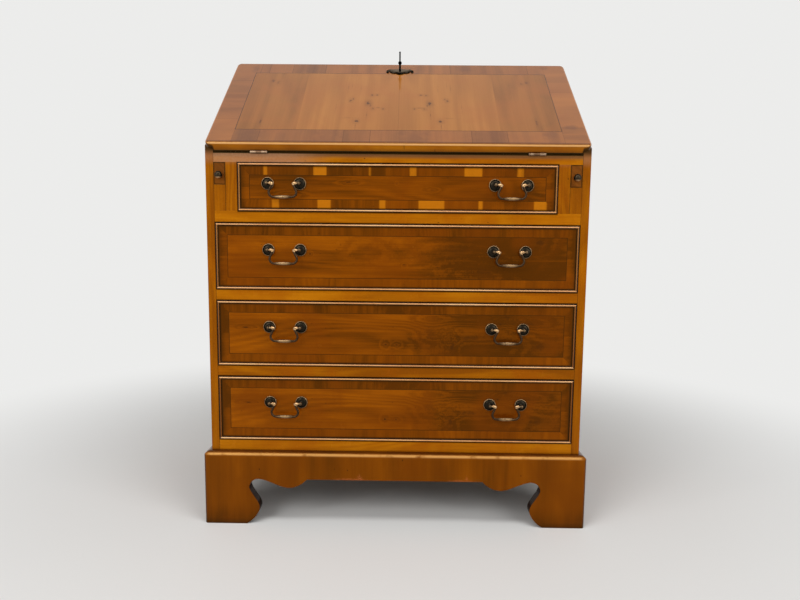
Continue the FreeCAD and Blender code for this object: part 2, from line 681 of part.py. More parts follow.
def knob(place, radius, length, spigot_length):
    """Turned knob that stands out towards the front, with a spigot into the wood behind it."""
    belly = KNOB_RIM + (length - KNOB_RIM) * KNOB_BELLY
    waist = KNOB_RIM + (length - KNOB_RIM) * KNOB_WAIST
    dome_centre = (length ** 2 - belly ** 2 - radius ** 2) / (2 * (length - belly))
    dome_radius = length - dome_centre
    halfway = math.atan2(radius, belly - dome_centre) / 2
    crown = (dome_radius * math.sin(halfway), dome_centre + dome_radius * math.cos(halfway))
    points = [
        (0, -spigot_length),
        (KNOB_SPIGOT_RADIUS, -spigot_length),
        (KNOB_SPIGOT_RADIUS, 0),
        (KNOB_RIM_RADIUS, 0),
        (KNOB_RIM_RADIUS, KNOB_RIM),
        (KNOB_NECK, KNOB_RIM),
        (KNOB_NECK, waist),
        (radius, belly),
        (crown, (0, length)),
    ]
    return turned(points, place, Vector(0, -1, 0))


def loper_knob():
    return knob(LOPER_KNOB_PLACE, LOPER_KNOB_RADIUS, LOPER_KNOB_LENGTH, KNOB_SPIGOT_LENGTH)


# Drawers

def dovetail_tails(outer_x, side_thickness, front_y, low, high):
    """Tails on the front end of a right-hand drawer side."""
    count = max(2, int((high - low) / TAIL_PITCH))
    pitch = (high - low) / count
    tails = []
    for i in range(count):
        z = low + pitch * (i + 0.5)
        corners = [
            Vector(outer_x - side_thickness, front_y, z - TAIL_ROOT / 2),
            Vector(outer_x - side_thickness, front_y - TAIL_LENGTH, z - TAIL_TIP / 2),
            Vector(outer_x - side_thickness, front_y - TAIL_LENGTH, z + TAIL_TIP / 2),
            Vector(outer_x - side_thickness, front_y, z + TAIL_ROOT / 2),
        ]
        tails.append(prism(corners, Vector(side_thickness, 0, 0)))
    return tails


def drawer(half_opening, low, high):
    """Front, cock bead and box of a full-width drawer that fills an opening."""
    half = half_opening - DRAWER_SIDE_GAP
    z0 = low + RUNNING_CLEARANCE
    z1 = high - DRAWER_TOP_GAP
    front_back = FRONT + DRAWER_FRONT
    end = FRONT + DRAWER_LENGTH
    bottom_z = z0 + BOTTOM_LIFT
    inner = half - DRAWER_SIDE
    side_top = z1 - SIDE_DROP
    groove = inner + GROOVE_DEPTH
    bottom = box(-groove, groove, front_back - GROOVE_DEPTH, end, bottom_z, bottom_z + DRAWER_BOTTOM)
    tails = dovetail_tails(half, DRAWER_SIDE, front_back, z0 + BOTTOM_LIFT + DRAWER_BOTTOM, side_top)
    side = fused([box(inner, half, front_back, end, z0, side_top)] + tails).cut(bottom)
    sides = both_sides(side)
    back = box(-inner, inner, end - DRAWER_SIDE, end, bottom_z + DRAWER_BOTTOM, side_top)
    front = box(-half, half, FRONT, front_back, z0, z1)
    field_half = half - BEAD_WIDTH
    bead_back = FRONT + BEAD_DEPTH
    field = box(-field_half, field_half, FRONT, bead_back, z0 + BEAD_WIDTH, z1 - BEAD_WIDTH)
    rim = box(-half, half, FRONT, bead_back, z0, z1).cut(field)
    for piece in [rim, bottom] + sides:
        front = front.cut(piece)
    return front, cock_bead(half, z0, z1), sides + [back, bottom]


def cock_bead(half, z0, z1):
    """Four strips with a rounded nose, mitred at the corners."""
    corner = [(-half, z0), (half, z0), (half, z1), (-half, z1)]
    in_half = half - BEAD_WIDTH
    in_low = z0 + BEAD_WIDTH
    in_high = z1 - BEAD_WIDTH
    inner = [(-in_half, in_low), (in_half, in_low), (in_half, in_high), (-in_half, in_high)]
    depth = Vector(0, BEAD_PROUD + BEAD_DEPTH, 0)
    strips = []
    for i in range(4):
        j = (i + 1) % 4
        points = [corner[i], corner[j], inner[j], inner[i]]
        strip = prism([Vector(x, FRONT - BEAD_PROUD, z) for x, z in points], depth)
        strips.append(strip.common(bead_stock(corner[i], corner[j])))
    return strips


def bead_stock(start, end):
    """Round-nosed stock for one strip of bead, along one edge of the drawer front."""
    radius = BEAD_WIDTH / 2
    nose = FRONT - BEAD_PROUD + radius
    x0, x1 = min(start[0], end[0]), max(start[0], end[0])
    z0, z1 = min(start[1], end[1]), max(start[1], end[1])
    if z0 == z1:
        level = z0 + radius if start[0] < end[0] else z0 - radius
        body = box(x0, x1, nose, FRONT + BEAD_DEPTH, level - radius, level + radius)
        return fused([body, Part.makeCylinder(radius, x1 - x0, Vector(x0, nose, level), Vector(1, 0, 0))])
    across = x0 - radius if start[1] < end[1] else x0 + radius
    body = box(across - radius, across + radius, nose, FRONT + BEAD_DEPTH, z0, z1)
    return fused([body, Part.makeCylinder(radius, z1 - z0, Vector(across, nose, z0), Vector(0, 0, 1))])


# Handles

def handle_mount(x, z):
    """Rosette, post with a ball, and nut at one end of a handle."""
    face = Vector(x, FRONT, z)
    out = Vector(0, -1, 0)
    hole = STUD_RADIUS + STUD_FIT
    rim_inner = ROSETTE_RADIUS - 2 * ROSETTE_RIM
    boss = NECK_RADIUS + ROSETTE_RIM
    rosette = turned([
        (hole, 0),
        (ROSETTE_RADIUS, 0),
        (ROSETTE_RADIUS, ROSETTE_RIM),
        ((ROSETTE_RADIUS - ROSETTE_RIM, 2 * ROSETTE_RIM), (rim_inner, ROSETTE_RIM)),
        (((rim_inner + boss) / 2, ROSETTE_DOME * ROSETTE_BULGE), (boss, ROSETTE_DOME)),
        (hole, ROSETTE_DOME),
    ], face, out)
    stud_end = -DRAWER_FRONT - NUT_THICKNESS - STUD_RADIUS
    join = math.sqrt(BALL_RADIUS ** 2 - NECK_RADIUS ** 2)
    post = turned([
        (0, stud_end),
        (STUD_RADIUS, stud_end),
        (STUD_RADIUS, ROSETTE_DOME),
        (boss, ROSETTE_DOME),
        (boss, ROSETTE_DOME + ROSETTE_RIM),
        (NECK_RADIUS, ROSETTE_DOME + 2 * ROSETTE_RIM),
        (NECK_RADIUS, POST_STAND - join),
        ((BALL_RADIUS, POST_STAND), (0, POST_STAND + BALL_RADIUS)),
    ], face, out)
    pivot = Vector(x - BALL_RADIUS, FRONT - POST_STAND, z)
    post = post.cut(Part.makeCylinder(PIVOT_RADIUS + PIVOT_FIT, 2 * BALL_RADIUS, pivot, Vector(1, 0, 0)))
    sixths = [i * math.pi / 3 for i in range(6)]
    corners = [Vector(NUT_RADIUS * math.cos(a), 0, NUT_RADIUS * math.sin(a)) for a in sixths]
    nut = prism(corners, Vector(0, NUT_THICKNESS, 0))
    nut.translate(face + Vector(0, DRAWER_FRONT, 0))
    bore = Part.makeCylinder(hole, NUT_THICKNESS, face + Vector(0, DRAWER_FRONT, 0), Vector(0, 1, 0))
    return [rosette, post, nut.cut(bore)]


def stud_hole(x, z):
    return Part.makeCylinder(STUD_RADIUS + STUD_FIT, DRAWER_FRONT, Vector(x, FRONT, z), Vector(0, 1, 0))


def bail(x, z):
    """Swan-neck bail: pivots in the balls, acorn ends, necks that swing out and a swelling grip."""
    half = POST_SPACING / 2
    along = Vector(1, 0, 0)
    acorn_end = half - BALL_RADIUS - ACORN_GAP
    acorn = turned([
        (0, 0),
        (ACORN_TIP_RADIUS, ACORN_TIP_RADIUS),
        ((ACORN_RADIUS * ACORN_FLANK, ACORN_LENGTH / 2), (ACORN_RADIUS, ACORN_LENGTH * ACORN_CUP)),
        (PIVOT_RADIUS, ACORN_LENGTH),
        (0, ACORN_LENGTH),
    ], Vector(acorn_end - ACORN_LENGTH, 0, 0), along)
    pin = Part.makeCylinder(PIVOT_RADIUS, half + PIVOT_REACH - acorn_end, Vector(acorn_end, 0, 0), along)
    root = Vector(half - NECK_INSET, 0, 0)
    shoulder = Vector(half - SHOULDER_INSET, 0, -SHOULDER_DROP)
    heading = math.atan2(shoulder.z - root.z, shoulder.x - root.x)
    bend = (GRIP_DROP - SHOULDER_DROP) / (1 + math.cos(heading))
    midway = (heading - math.pi) / 2
    bend_middle = shoulder + Vector(bend * (math.sin(heading) - math.sin(midway)), 0,
                                    bend * (math.cos(midway) - math.cos(heading)))
    corner = Vector(shoulder.x + bend * math.sin(heading), 0, -GRIP_DROP)
    path = Part.Wire([Part.makeLine(root, shoulder), Part.Arc(shoulder, bend_middle, corner).toShape()])
    ring = Part.Wire(Part.makeCircle(WIRE_RADIUS, root, shoulder - root))
    neck = path.makePipeShell([ring], True, False)
    grip = turned([
        (0, -corner.x),
        (WIRE_RADIUS, -corner.x),
        ((GRIP_RADIUS, 0), (WIRE_RADIUS, corner.x)),
        (0, corner.x),
    ], Vector(0, 0, -GRIP_DROP), along)
    pieces = [grip]
    for piece in (neck, acorn, pin):
        pieces += both_sides(piece)
    whole = fused(pieces)
    whole.translate(Vector(x, FRONT - POST_STAND, z))
    return whole


# Nest of pigeonholes

def nest_shelf():
    return box(-INSIDE, INSIDE, NEST_FACE, INSIDE_BACK, NEST_SHELF_LEVEL, NEST_SHELF_LEVEL + NEST_BOARD)


def nest_uprights():
    """Two uprights beside the small drawers, and the dividers between the pigeonholes."""
    half = NEST_BOARD / 2
    x0 = PIGEONHOLE_PITCH - half
    boards = both_sides(box(x0, x0 + NEST_BOARD, NEST_FACE, INSIDE_BACK, BED_TOP, NEST_SHELF_LEVEL))
    shelf_top = NEST_SHELF_LEVEL + NEST_BOARD
    for i in range(1, PIGEONHOLES):
        x = -INSIDE + PIGEONHOLE_PITCH * i
        boards.append(box(x - half, x + half, NEST_FACE, INSIDE_BACK, shelf_top, TOP_UNDERSIDE))
    return boards


def nest_drawer():
    """Right-hand small drawer, all its pieces: front, sides, back, bottom and turned knob."""
    x0 = PIGEONHOLE_PITCH + NEST_BOARD / 2 + NEST_GAP
    x1 = INSIDE - NEST_GAP
    z0 = BED_TOP + RUNNING_CLEARANCE
    z1 = NEST_SHELF_LEVEL - NEST_GAP
    front_back = NEST_FACE + NEST_FRONT
    end = NEST_FACE + NEST_DRAWER_LENGTH
    low = z0 + NEST_BOTTOM_LIFT
    inset = NEST_SIDE - NEST_GROOVE
    bottom = box(x0 + inset, x1 - inset, front_back - NEST_GROOVE, end, low, low + NEST_BOTTOM)
    near = box(x0, x0 + NEST_SIDE, front_back, end, z0, z1).cut(bottom)
    far = box(x1 - NEST_SIDE, x1, front_back, end, z0, z1).cut(bottom)
    back = box(x0 + NEST_SIDE, x1 - NEST_SIDE, end - NEST_SIDE, end, low + NEST_BOTTOM, z1)
    place = Vector((x0 + x1) / 2, NEST_FACE, (z0 + z1) / 2)
    spigot_hole = Part.makeCylinder(KNOB_SPIGOT_RADIUS + SPIGOT_FIT, NEST_FRONT, place, Vector(0, 1, 0))
    front = box(x0, x1, NEST_FACE, front_back, z0, z1).cut(bottom).cut(spigot_hole)
    pull = knob(place, NEST_KNOB_RADIUS, NEST_KNOB_LENGTH, NEST_FRONT)
    return [front, near, far, back, bottom, pull]


# Build every piece

bottom_board = tongued_board(FRONT, INSIDE_BACK, PLINTH_HEIGHT, DRAWER_FLOOR)
bed = writing_board()
rails = [drawer_rail(tier) for tier in range(DEEP_DRAWERS)]
right_gable = gable([bottom_board, bed, back_panel()] + rails)

save("left_gable", mirrored(right_gable))
save("right_gable", right_gable)
save("top_board", top_board())
save("top_dowels", *[side for dowel in dowels(0) for side in both_sides(dowel)])
save("writing_board", bed)
save("bottom_board", bottom_board)
save("back_panel", back_panel())
save("drawer_rails", *rails)
save("drawer_runners", *[side for tier in range(DEEP_DRAWERS) for side in both_sides(drawer_runner(tier))])
save("drawer_stops", *[side for tier in range(DEEP_DRAWERS + 1) for side in both_sides(drawer_stop(tier))])
save("loper_partitions", *both_sides(loper_partition()))
save("loper_carriers", *both_sides(loper_carrier()))
save("plinth_front", plinth_front())
save("plinth_left", mirrored(plinth_right()))
save("plinth_right", plinth_right())
save("plinth_back", plinth_back())
save("plinth_blocks", *plinth_blocks())
save("hinge_bed_leaves", *both_sides(board_hinge_leaf()))
save("hinge_fall_leaves", *both_sides(fall_hinge_leaf()))
save("hinge_pins", *both_sides(hinge_pin()))
save("strike_plate", strike_blank().cut(bolt_mortise()))
save("nest_shelf", nest_shelf())
save("nest_uprights", *nest_uprights())
for name, pieces in (("right", nest_drawer()), ("left", [mirrored(piece) for piece in nest_drawer()])):
    save("nest_drawer_" + name, *pieces)

save("fall_panel", fall_panel())
save("fall_leather", on_fall(leather()))
save("escutcheon", escutcheon())
save("lock_case", lock_case())
save("lock_bolt", lock_bolt())
save("key", key())

save("loper_right", loper())
save("loper_left", mirrored(loper()))
save("loper_knob_right", loper_knob())
save("loper_knob_left", mirrored(loper_knob()))

# Drawer 1 is the shallow one under the writing board; 2 to 4 are the deep ones below it.
for number in range(1, DEEP_DRAWERS + 2):
    tier = DEEP_DRAWERS + 1 - number
    shallow = number == 1
    floor = DRAWER_FLOOR + tier * TIER_PITCH
    height = SHALLOW_OPENING if shallow else DEEP_OPENING
    front, bead, carcass = drawer(SHALLOW_HALF_OPENING if shallow else INSIDE, floor, floor + height)
    handle_z = floor + height / 2 + (HANDLE_LIFT_SHALLOW if shallow else HANDLE_LIFT_DEEP)
    mounts = []
    for centre in (-HANDLE_X, HANDLE_X):
        for post_x in (centre - POST_SPACING / 2, centre + POST_SPACING / 2):
            front = front.cut(stud_hole(post_x, handle_z))
            mounts += handle_mount(post_x, handle_z)
    save("drawer_%d_front" % number, front)
    save("drawer_%d_cock_bead" % number, *bead)
    save("drawer_%d_box" % number, *carcass)
    save("drawer_%d_handle_mounts" % number, *mounts)
    save("drawer_%d_bail_left" % number, bail(-HANDLE_X, handle_z))
    save("drawer_%d_bail_right" % number, bail(HANDLE_X, handle_z))
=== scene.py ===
# %% [markdown]
# # Dressing a slant-front bureau
# The desk comes in as finished joinery: each board, drawer, hinge and handle is in place, at its real
# size, in metres. This lesson adds veneer, stain, lacquer, leather, old brass, and the screws and pins
# of the fittings. No board is moved or reshaped, so everything still fits and opens.

# %% Load the joined desk
import json
import math

import bmesh
import bpy
from mathutils import Matrix, Vector


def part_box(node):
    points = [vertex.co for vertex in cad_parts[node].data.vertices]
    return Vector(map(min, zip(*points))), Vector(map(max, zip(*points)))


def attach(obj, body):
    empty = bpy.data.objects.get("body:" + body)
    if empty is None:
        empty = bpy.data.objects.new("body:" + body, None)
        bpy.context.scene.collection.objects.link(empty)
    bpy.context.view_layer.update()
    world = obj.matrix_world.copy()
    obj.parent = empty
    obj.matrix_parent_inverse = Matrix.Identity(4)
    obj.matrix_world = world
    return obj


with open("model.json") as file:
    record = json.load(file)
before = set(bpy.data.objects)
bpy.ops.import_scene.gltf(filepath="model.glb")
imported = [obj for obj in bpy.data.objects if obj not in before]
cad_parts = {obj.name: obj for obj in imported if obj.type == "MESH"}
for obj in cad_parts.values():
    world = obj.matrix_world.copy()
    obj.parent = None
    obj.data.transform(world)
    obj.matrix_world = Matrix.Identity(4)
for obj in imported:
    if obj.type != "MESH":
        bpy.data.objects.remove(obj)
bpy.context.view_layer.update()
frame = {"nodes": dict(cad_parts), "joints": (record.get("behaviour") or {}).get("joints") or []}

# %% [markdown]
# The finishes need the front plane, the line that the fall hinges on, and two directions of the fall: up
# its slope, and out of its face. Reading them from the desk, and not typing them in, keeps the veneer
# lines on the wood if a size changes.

scene = bpy.context.scene
nodes = frame["nodes"]
joints = {joint["name"]: joint for joint in frame["joints"]}
MM = 0.001
ACROSS, TO_BACK, UP = Vector((1, 0, 0)), Vector((0, 1, 0)), Vector((0, 0, 1))

front_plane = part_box("drawer_2_front")[0].y
hinge_line = Vector(joints["fall_hinge"]["pos_m"])
up_slope = Vector(joints["lock_bolt_slide"]["axis"])
outward = Vector(joints["key_turn"]["axis"])
key_place = Vector(joints["key_turn"]["pos_m"])
print("front plane at y = %.4f m, hinge line at z = %.3f m" % (front_plane, hinge_line.z))

# %% [markdown]
# ## A bench for node trees
# Every finish is a small tree of nodes. Typing each node and link by hand hides the idea behind the
# plumbing. Here the output of a node is wrapped as a field, and fields take plain arithmetic: a sum, a
# product, a comparison, and "and" and "or" for masks, which run from 0 to 1. Each sign adds one node.


# %% Make the fields
def sign(operation):
    """A method that joins a field and another value by one math node."""

    def join(self, other):
        return self.bench.math(operation, self, other)

    return join


class Field:
    """A value, mask, colour or direction that varies over a surface: one output of a node."""

    __add__ = __radd__ = sign("ADD")
    __mul__ = __rmul__ = sign("MULTIPLY")
    __sub__ = sign("SUBTRACT")
    __and__ = sign("MINIMUM")
    __or__ = __ror__ = sign("MAXIMUM")
    __lt__ = sign("LESS_THAN")
    __gt__ = sign("GREATER_THAN")

    def __init__(self, bench, socket):
        self.bench = bench
        self.socket = socket

    def __rsub__(self, other):
        return self.bench.math("SUBTRACT", other, self)

    def __abs__(self):
        return self.bench.math("ABSOLUTE", self)

    def scale(self, by, plus):
        """Stretched by a factor, then shifted."""
        return self.bench.math("MULTIPLY_ADD", self, by, plus)

    def swing(self, weight):
        """A noise, which swings about 0.5, turned into one that swings about 0."""
        return self.scale(weight, -0.5 * weight)

    def fade(self, start, end):
        """0 at start, 1 at end, smooth between; start may be the larger one."""
        return self.bench.field("MapRange", {0: self, 1: start, 2: end}, interpolation_type="SMOOTHSTEP")

    def fade_mm(self, start, end):
        """The same fade between two distances in millimetres."""
        return self.fade(start * MM, end * MM)

    def near(self, value, reach):
        """1 within a reach of a value, 0 beyond it."""
        return self.bench.math("COMPARE", self, value, reach)

    def inside(self, low, high):
        """How far a value lies inside a range; below 0 outside it."""
        return (high - low) / 2 - abs(self - (low + high) / 2)

    def pick(self, first, second):
        """The first value where this mask is 0, the second where it is 1."""
        return self.bench.field("Mix", {0: self, 2: first, 3: second}, data_type="FLOAT")

    def blend(self, first, second):
        """The first colour where this mask is 0, the second where it is 1."""
        return self.bench.field("Mix", {0: self, 6: first, 7: second}, 2, data_type="RGBA")

    def dot(self, direction):
        return self.bench.field("VectorMath", {0: self, 1: direction}, "Value", operation="DOT_PRODUCT")

    def length(self):
        return self.bench.field("VectorMath", {0: self}, "Value", operation="LENGTH")


print("fields take +, -, *, <, >, & and |")

# %% [markdown]
# The bench adds the nodes. What goes into a node may be a number, a colour or a field, and the bench
# sets or links it as needed. Knots, smoke and chips are all drawn by the distance from the middle of an
# oval.


# %% Make the node bench
class Bench:
    """Short ways to add nodes to one tree and to join them."""

    def __init__(self, tree):
        self.tree = tree

    def put(self, socket, value):
        if isinstance(value, Field):
            self.tree.links.new(value.socket, socket)
        else:
            socket.default_value = value

    def make(self, kind, inputs=None, **settings):
        made = self.tree.nodes.new("ShaderNode" + kind)
        for key, value in settings.items():
            setattr(made, key, value)
        for key, value in (inputs or {}).items():
            self.put(made.inputs[key], value)
        return made

    def field(self, kind, inputs, output=0, **settings):
        return Field(self, self.make(kind, inputs, **settings).outputs[output])

    def math(self, operation, *values):
        return self.field("Math", dict(enumerate(values)), operation=operation)

    def vector(self, x, y, z=0):
        return self.field("CombineXYZ", {0: x, 1: y, 2: z})

    def oval(self, first, second, at_first, at_second, half_first, half_second):
        """Distance from the middle of an oval; it is 1 on the rim."""
        return self.vector(
            first.scale(1 / half_first, -at_first / half_first),
            second.scale(1 / half_second, -at_second / half_second),
        ).length()

    def noise(self, place, scale, detail=2, roughness=0.5, distortion=0):
        settings = {"Vector": place, "Scale": scale, "Detail": detail, "Roughness": roughness}
        return self.field("TexNoise", {**settings, "Distortion": distortion})

    def ramp(self, value, *stops):
        made = self.make("ValToRGB", {0: value})
        elements = made.color_ramp.elements
        elements.remove(elements[1])
        elements[0].position, elements[0].color = stops[0]
        for position, colour in stops[1:]:
            elements.new(position).color = colour
        return Field(self, made.outputs[0])


def rgb(red, green, blue):
    """A colour as read off a colour card (0 to 255), in the linear light that the renderer works in."""
    card = [value / 255 for value in (red, green, blue)]
    return tuple(v / 12.92 if v < 0.04045 else ((v + 0.055) / 1.055) ** 2.4 for v in card) + (1,)


print("node bench ready; the middle of the colour card is %.3f in linear light" % rgb(128, 128, 128)[0])

# %% [markdown]
# ## A finish and its coordinates
# A finish is a material whose tree knows where it is on the desk. The object coordinates of each piece
# are the desk's own measures and don't change when a drawer slides or the fall swings, so bands, knots
# and lines can be drawn by position. The direction that a face looks in comes from the same coordinates.


# %% Make the finish
class Finish(Bench):
    """A material with its shader, its place on the desk and the direction of its face."""

    def __init__(self, name):
        self.material = bpy.data.materials.new(name)
        self.material.use_nodes = True
        super().__init__(self.material.node_tree)
        self.shader = self.tree.nodes["Principled BSDF"]
        source = self.make("TexCoord").outputs
        self.place = Field(self, source["Object"])
        self.facing = Field(self, source["Normal"])
        self.x, self.y, self.z = self.split(self.place)

    def split(self, field):
        return [Field(self, part) for part in self.make("SeparateXYZ", {0: field}).outputs]

    def from_hinge(self, direction):
        """How far the surface lies from the hinge line of the fall in one direction, in metres."""
        return self.place.dot(direction) - direction.dot(hinge_line)

    def faces(self, direction, start=0.45, end=0.75):
        """1 on the faces that look the given way; start and end say how squarely."""
        return self.facing.dot(direction).fade(start, end)

    def mottle(self, scale, *settings):
        """A noise that is spread over the surface."""
        return self.noise(self.place, scale, *settings)

    def crevice(self, reach):
        """1 in the open, falling to 0 in joints and corners narrower than the reach."""
        return self.field("AmbientOcclusion", {"Distance": reach}, "AO", samples=6)

    def bump(self, height, depth, ease=None):
        """Fine relief, on edges that are eased over a small radius if one is given."""
        inputs = {"Height": height, "Distance": depth, "Strength": 1}
        if ease:
            inputs["Normal"] = self.field("Bevel", {"Radius": ease}, samples=4)
        return self.field("Bump", inputs)

    def shade(self, settings):
        for socket, value in settings.items():
            self.put(self.shader.inputs[socket], value)
        return self.material


def wear(finish, *names):
    """Gives a finish to desk pieces, in the material slots that they already have."""
    for name in names:
        piece = nodes[name]
        if not piece.material_slots:
            piece.data.materials.append(finish)
        for slot in piece.material_slots:
            slot.material = finish
    print("%-22s on %d pieces" % (finish.name, len(names)))


# %% [markdown]
# ## Stage, light and camera
# A studio photographer stands furniture on a pale sweep of paper. A large disc does the same from every
# side: near the desk it takes the shadow, and further out it fades into a background of the same tone,
# so no horizon cuts across the picture. The fade is only for eyes and reflections; the bounced light
# stays real.

# %% Lay the floor and set the background
BACKDROP = (0.84, 0.84, 0.83, 1)
FLOOR_COLOUR = (0.80, 0.795, 0.78, 1)
FLOOR_RADIUS = 16
AMBIENT = 0.38
FADE_START, FADE_END = 0.5, 1.7
FLOOR_SIDES = 96
LOOKING_RAYS = ("Is Camera Ray", "Is Glossy Ray", "Is Transmission Ray")


def looked_at(bench):
    """1 for what the camera or a reflection looks at, 0 for soft light that bounces about."""
    path = bench.make("LightPath").outputs
    seen, mirrored, passed = [Field(bench, path[ray]) for ray in LOOKING_RAYS]
    return seen | mirrored | passed


def pale_paper():
    finish = Finish("pale_paper")
    tint = 0.97 + finish.mottle(260, 3).swing(0.03) + finish.mottle(1.7, 2).swing(0.05)
    tinted = {0: 1, 6: FLOOR_COLOUR, 7: tint}
    paper = finish.shade({
        "Base Color": finish.field("Mix", tinted, 2, data_type="RGBA", blend_type="MULTIPLY"),
        "Roughness": 0.75,
        "Specular IOR Level": 0.2,
    })
    far = finish.place.length().fade(FADE_START, FADE_END)
    lit = Field(finish, finish.shader.outputs[0])
    glow = finish.field("Emission", {"Color": BACKDROP, "Strength": 1})
    mixed = finish.field("MixShader", {0: far * looked_at(finish), 1: lit, 2: glow})
    finish.put(paper.node_tree.nodes["Material Output"].inputs["Surface"], mixed)
    return paper


def add_mesh(name, shape, material):
    """An object that is made of a finished shape and wears one material."""
    mesh = bpy.data.meshes.new(name)
    shape.to_mesh(mesh)
    shape.free()
    mesh.materials.append(material)
    made = bpy.data.objects.new(name, mesh)
    scene.collection.objects.link(made)
    return made


scene.world = bpy.data.worlds.new("studio")
scene.world.use_nodes = True
bench = Bench(scene.world.node_tree)
background = bench.tree.nodes["Background"]
background.inputs["Color"].default_value = BACKDROP
bench.put(background.inputs["Strength"], looked_at(bench).pick(AMBIENT, 1))
scene.view_settings.view_transform = "Standard"

disc = bmesh.new()
bmesh.ops.create_circle(disc, cap_ends=True, segments=FLOOR_SIDES, radius=FLOOR_RADIUS)
floor = add_mesh("floor", disc, pale_paper())
print("floor disc of %.0f m, background %.2f" % (FLOOR_RADIUS, BACKDROP[0]))

# %% [markdown]
# Two soft boxes stand in front, too high for the drawer fronts to mirror them into the lens. Three long
# strips do the drawing: a wide one overhead and a narrow one on each side. Only rounded noses mirror
# them to the camera, so beads, lips and the plinth's top each catch one thin bright line, over the
# highlights that are painted on them.

# %% Hang the soft boxes
SOFT_BOXES = [
    # name, place, aimed at, width, depth, power in watts
    ("front_left", (-1.9, -2.7, 2.3), (0, -0.2, 0.45), 1.6, 1.6, 42),
    ("front_right", (2.1, -2.5, 1.9), (0, -0.2, 0.45), 1.6, 1.6, 28),
    ("strip_above", (0, -0.95, 2.5), (0, -0.45, 0.8), 2.6, 0.6, 22),
    ("strip_left", (-2.4, -1.5, 0.95), (0, -0.2, 0.6), 0.2, 1.7, 7),
    ("strip_right", (2.4, -1.5, 0.95), (0, -0.2, 0.6), 0.2, 1.7, 7),
]

for name, place, target, width, depth, power in SOFT_BOXES:
    lamp = bpy.data.lights.new(name, "AREA")
    lamp.shape = "RECTANGLE"
    lamp.size = width
    lamp.size_y = depth
    lamp.energy = power
    box = bpy.data.objects.new(name, lamp)
    box.location = place
    box.rotation_euler = (Vector(target) - Vector(place)).to_track_quat("-Z", "Y").to_euler()
    scene.collection.objects.link(box)
print("soft boxes:", [soft_box[0] for soft_box in SOFT_BOXES])

# %% [markdown]
# The camera stands where the photographer stood: about 1.2 m in front of the drawers, at the height of
# the second drawer, tipped down six degrees, with a wide lens. Its three axes are built from those
# angles, because axes are easier to check than three turns in a fixed order.

# %% Place the camera
IMAGE_WIDTH = 800
FOCAL_PIXELS = 590
SENSOR = 36
TIP_DOWN, TURN, LEAN = 0.106, -0.011, 0.010
STAND = Vector((0.0206, front_plane - 1.1861, 0.5973))

level = Vector((math.cos(TURN), -math.sin(TURN), 0))
ahead = Vector((math.sin(TURN), math.cos(TURN), 0))
looking = ahead * math.cos(TIP_DOWN) - UP * math.sin(TIP_DOWN)
top = level.cross(looking)
right = level * math.cos(LEAN) + top * math.sin(LEAN)
above = top * math.cos(LEAN) - level * math.sin(LEAN)

lens = bpy.data.cameras.new("camera")
lens.sensor_fit = "HORIZONTAL"
lens.sensor_width = SENSOR
lens.lens = FOCAL_PIXELS * SENSOR / IMAGE_WIDTH
camera = bpy.data.objects.new("camera", lens)
camera.matrix_world = Matrix.Translation(STAND) @ Matrix((right, above, -looking)).transposed().to_4x4()
scene.collection.objects.link(camera)
scene.camera = camera
print("lens of %.2f mm, %.3f m in front of the drawers" % (lens.lens, front_plane - STAND.y))

# %% [markdown]
# ## Yew veneer
# Yew is an orange, fine-grained wood with wandering rings, dark pips and clusters of knots. A slice cuts
# through nested growth rings, so the rings are drawn as contour lines of a slow noise that is stretched
# along the grain: where it peaks, the contours close into the flames that joiners call cathedrals. Knots
# push the contours aside. Fibres and pores are faster noises, stretched more. One class draws a leaf in
# any direction, and each piece says which way its grain runs.

# %% Draw one leaf of veneer
FULL_TURN = 2 * math.pi
FIBRE_GRAIN = (5, 330)
PORE_GRAIN = (70, 1500)
PIP_SCALE = 60
PIP_LENGTH = 0.6


class Leaf:
    """Tone (about 0.5), relief and darkness of knots of one leaf of veneer."""

    def __init__(self, finish, along, across, seed, rings=15, stretch=6, knots=(), pips=0.8,
                 fibres=0.30, clouds=0.75):
        self.finish = finish
        slow = finish.vector(along * (1 / stretch), across, seed)
        bands = finish.noise(slow, 8, 2.5, 0.45, 0.5) * rings
        self.ragged = finish.mottle(150, 3, 0.65).swing(2.6)
        knot_mask = 0
        for knot in knots:
            push, dark = self.knot(along, across, knot)
            bands = bands + push
            knot_mask = dark | knot_mask
        wave = finish.math("SINE", bands * FULL_TURN)
        fine, finer = [finish.vector(along * a, across * b, seed) for a, b in (FIBRE_GRAIN, PORE_GRAIN)]
        fibre = finish.noise(fine, 1, 3, 0.6)
        pores = finish.noise(finer, 1, 1)
        cloud = finish.noise(slow, 21, 3, 0.55)
        fine_tone = fibre.swing(fibres) + pores.swing(0.5 * fibres)
        self.tone = 0.5 + wave * 0.06 + fine_tone + cloud.swing(clouds)
        pip_place = finish.vector(along * PIP_LENGTH, across, seed)
        speck = finish.field("TexVoronoi", {"Vector": pip_place, "Scale": PIP_SCALE}, "Distance")
        rare = finish.noise(slow, 30, 1).fade(0.44, 0.56)
        self.dark = knot_mask | speck.fade(0.085, 0.04) * rare * pips
        self.relief = fibre + pores * 0.6

    def knot(self, along, across, knot):
        """One knot, in millimetres: its push on the rings, and its dark heart with a smoky rim."""
        *oval, strength = knot
        distance = self.finish.oval(along, across, *[value * MM for value in oval]) + self.ragged
        heart = distance.fade(1.15, 0.45) * strength
        smoke = distance.fade(3.2, 0.3) * (0.34 * strength)
        return distance.fade(6, 0) * 1.6, heart | smoke


print("leaf of veneer: rings, fibre, pores, cloud, pips and knots")
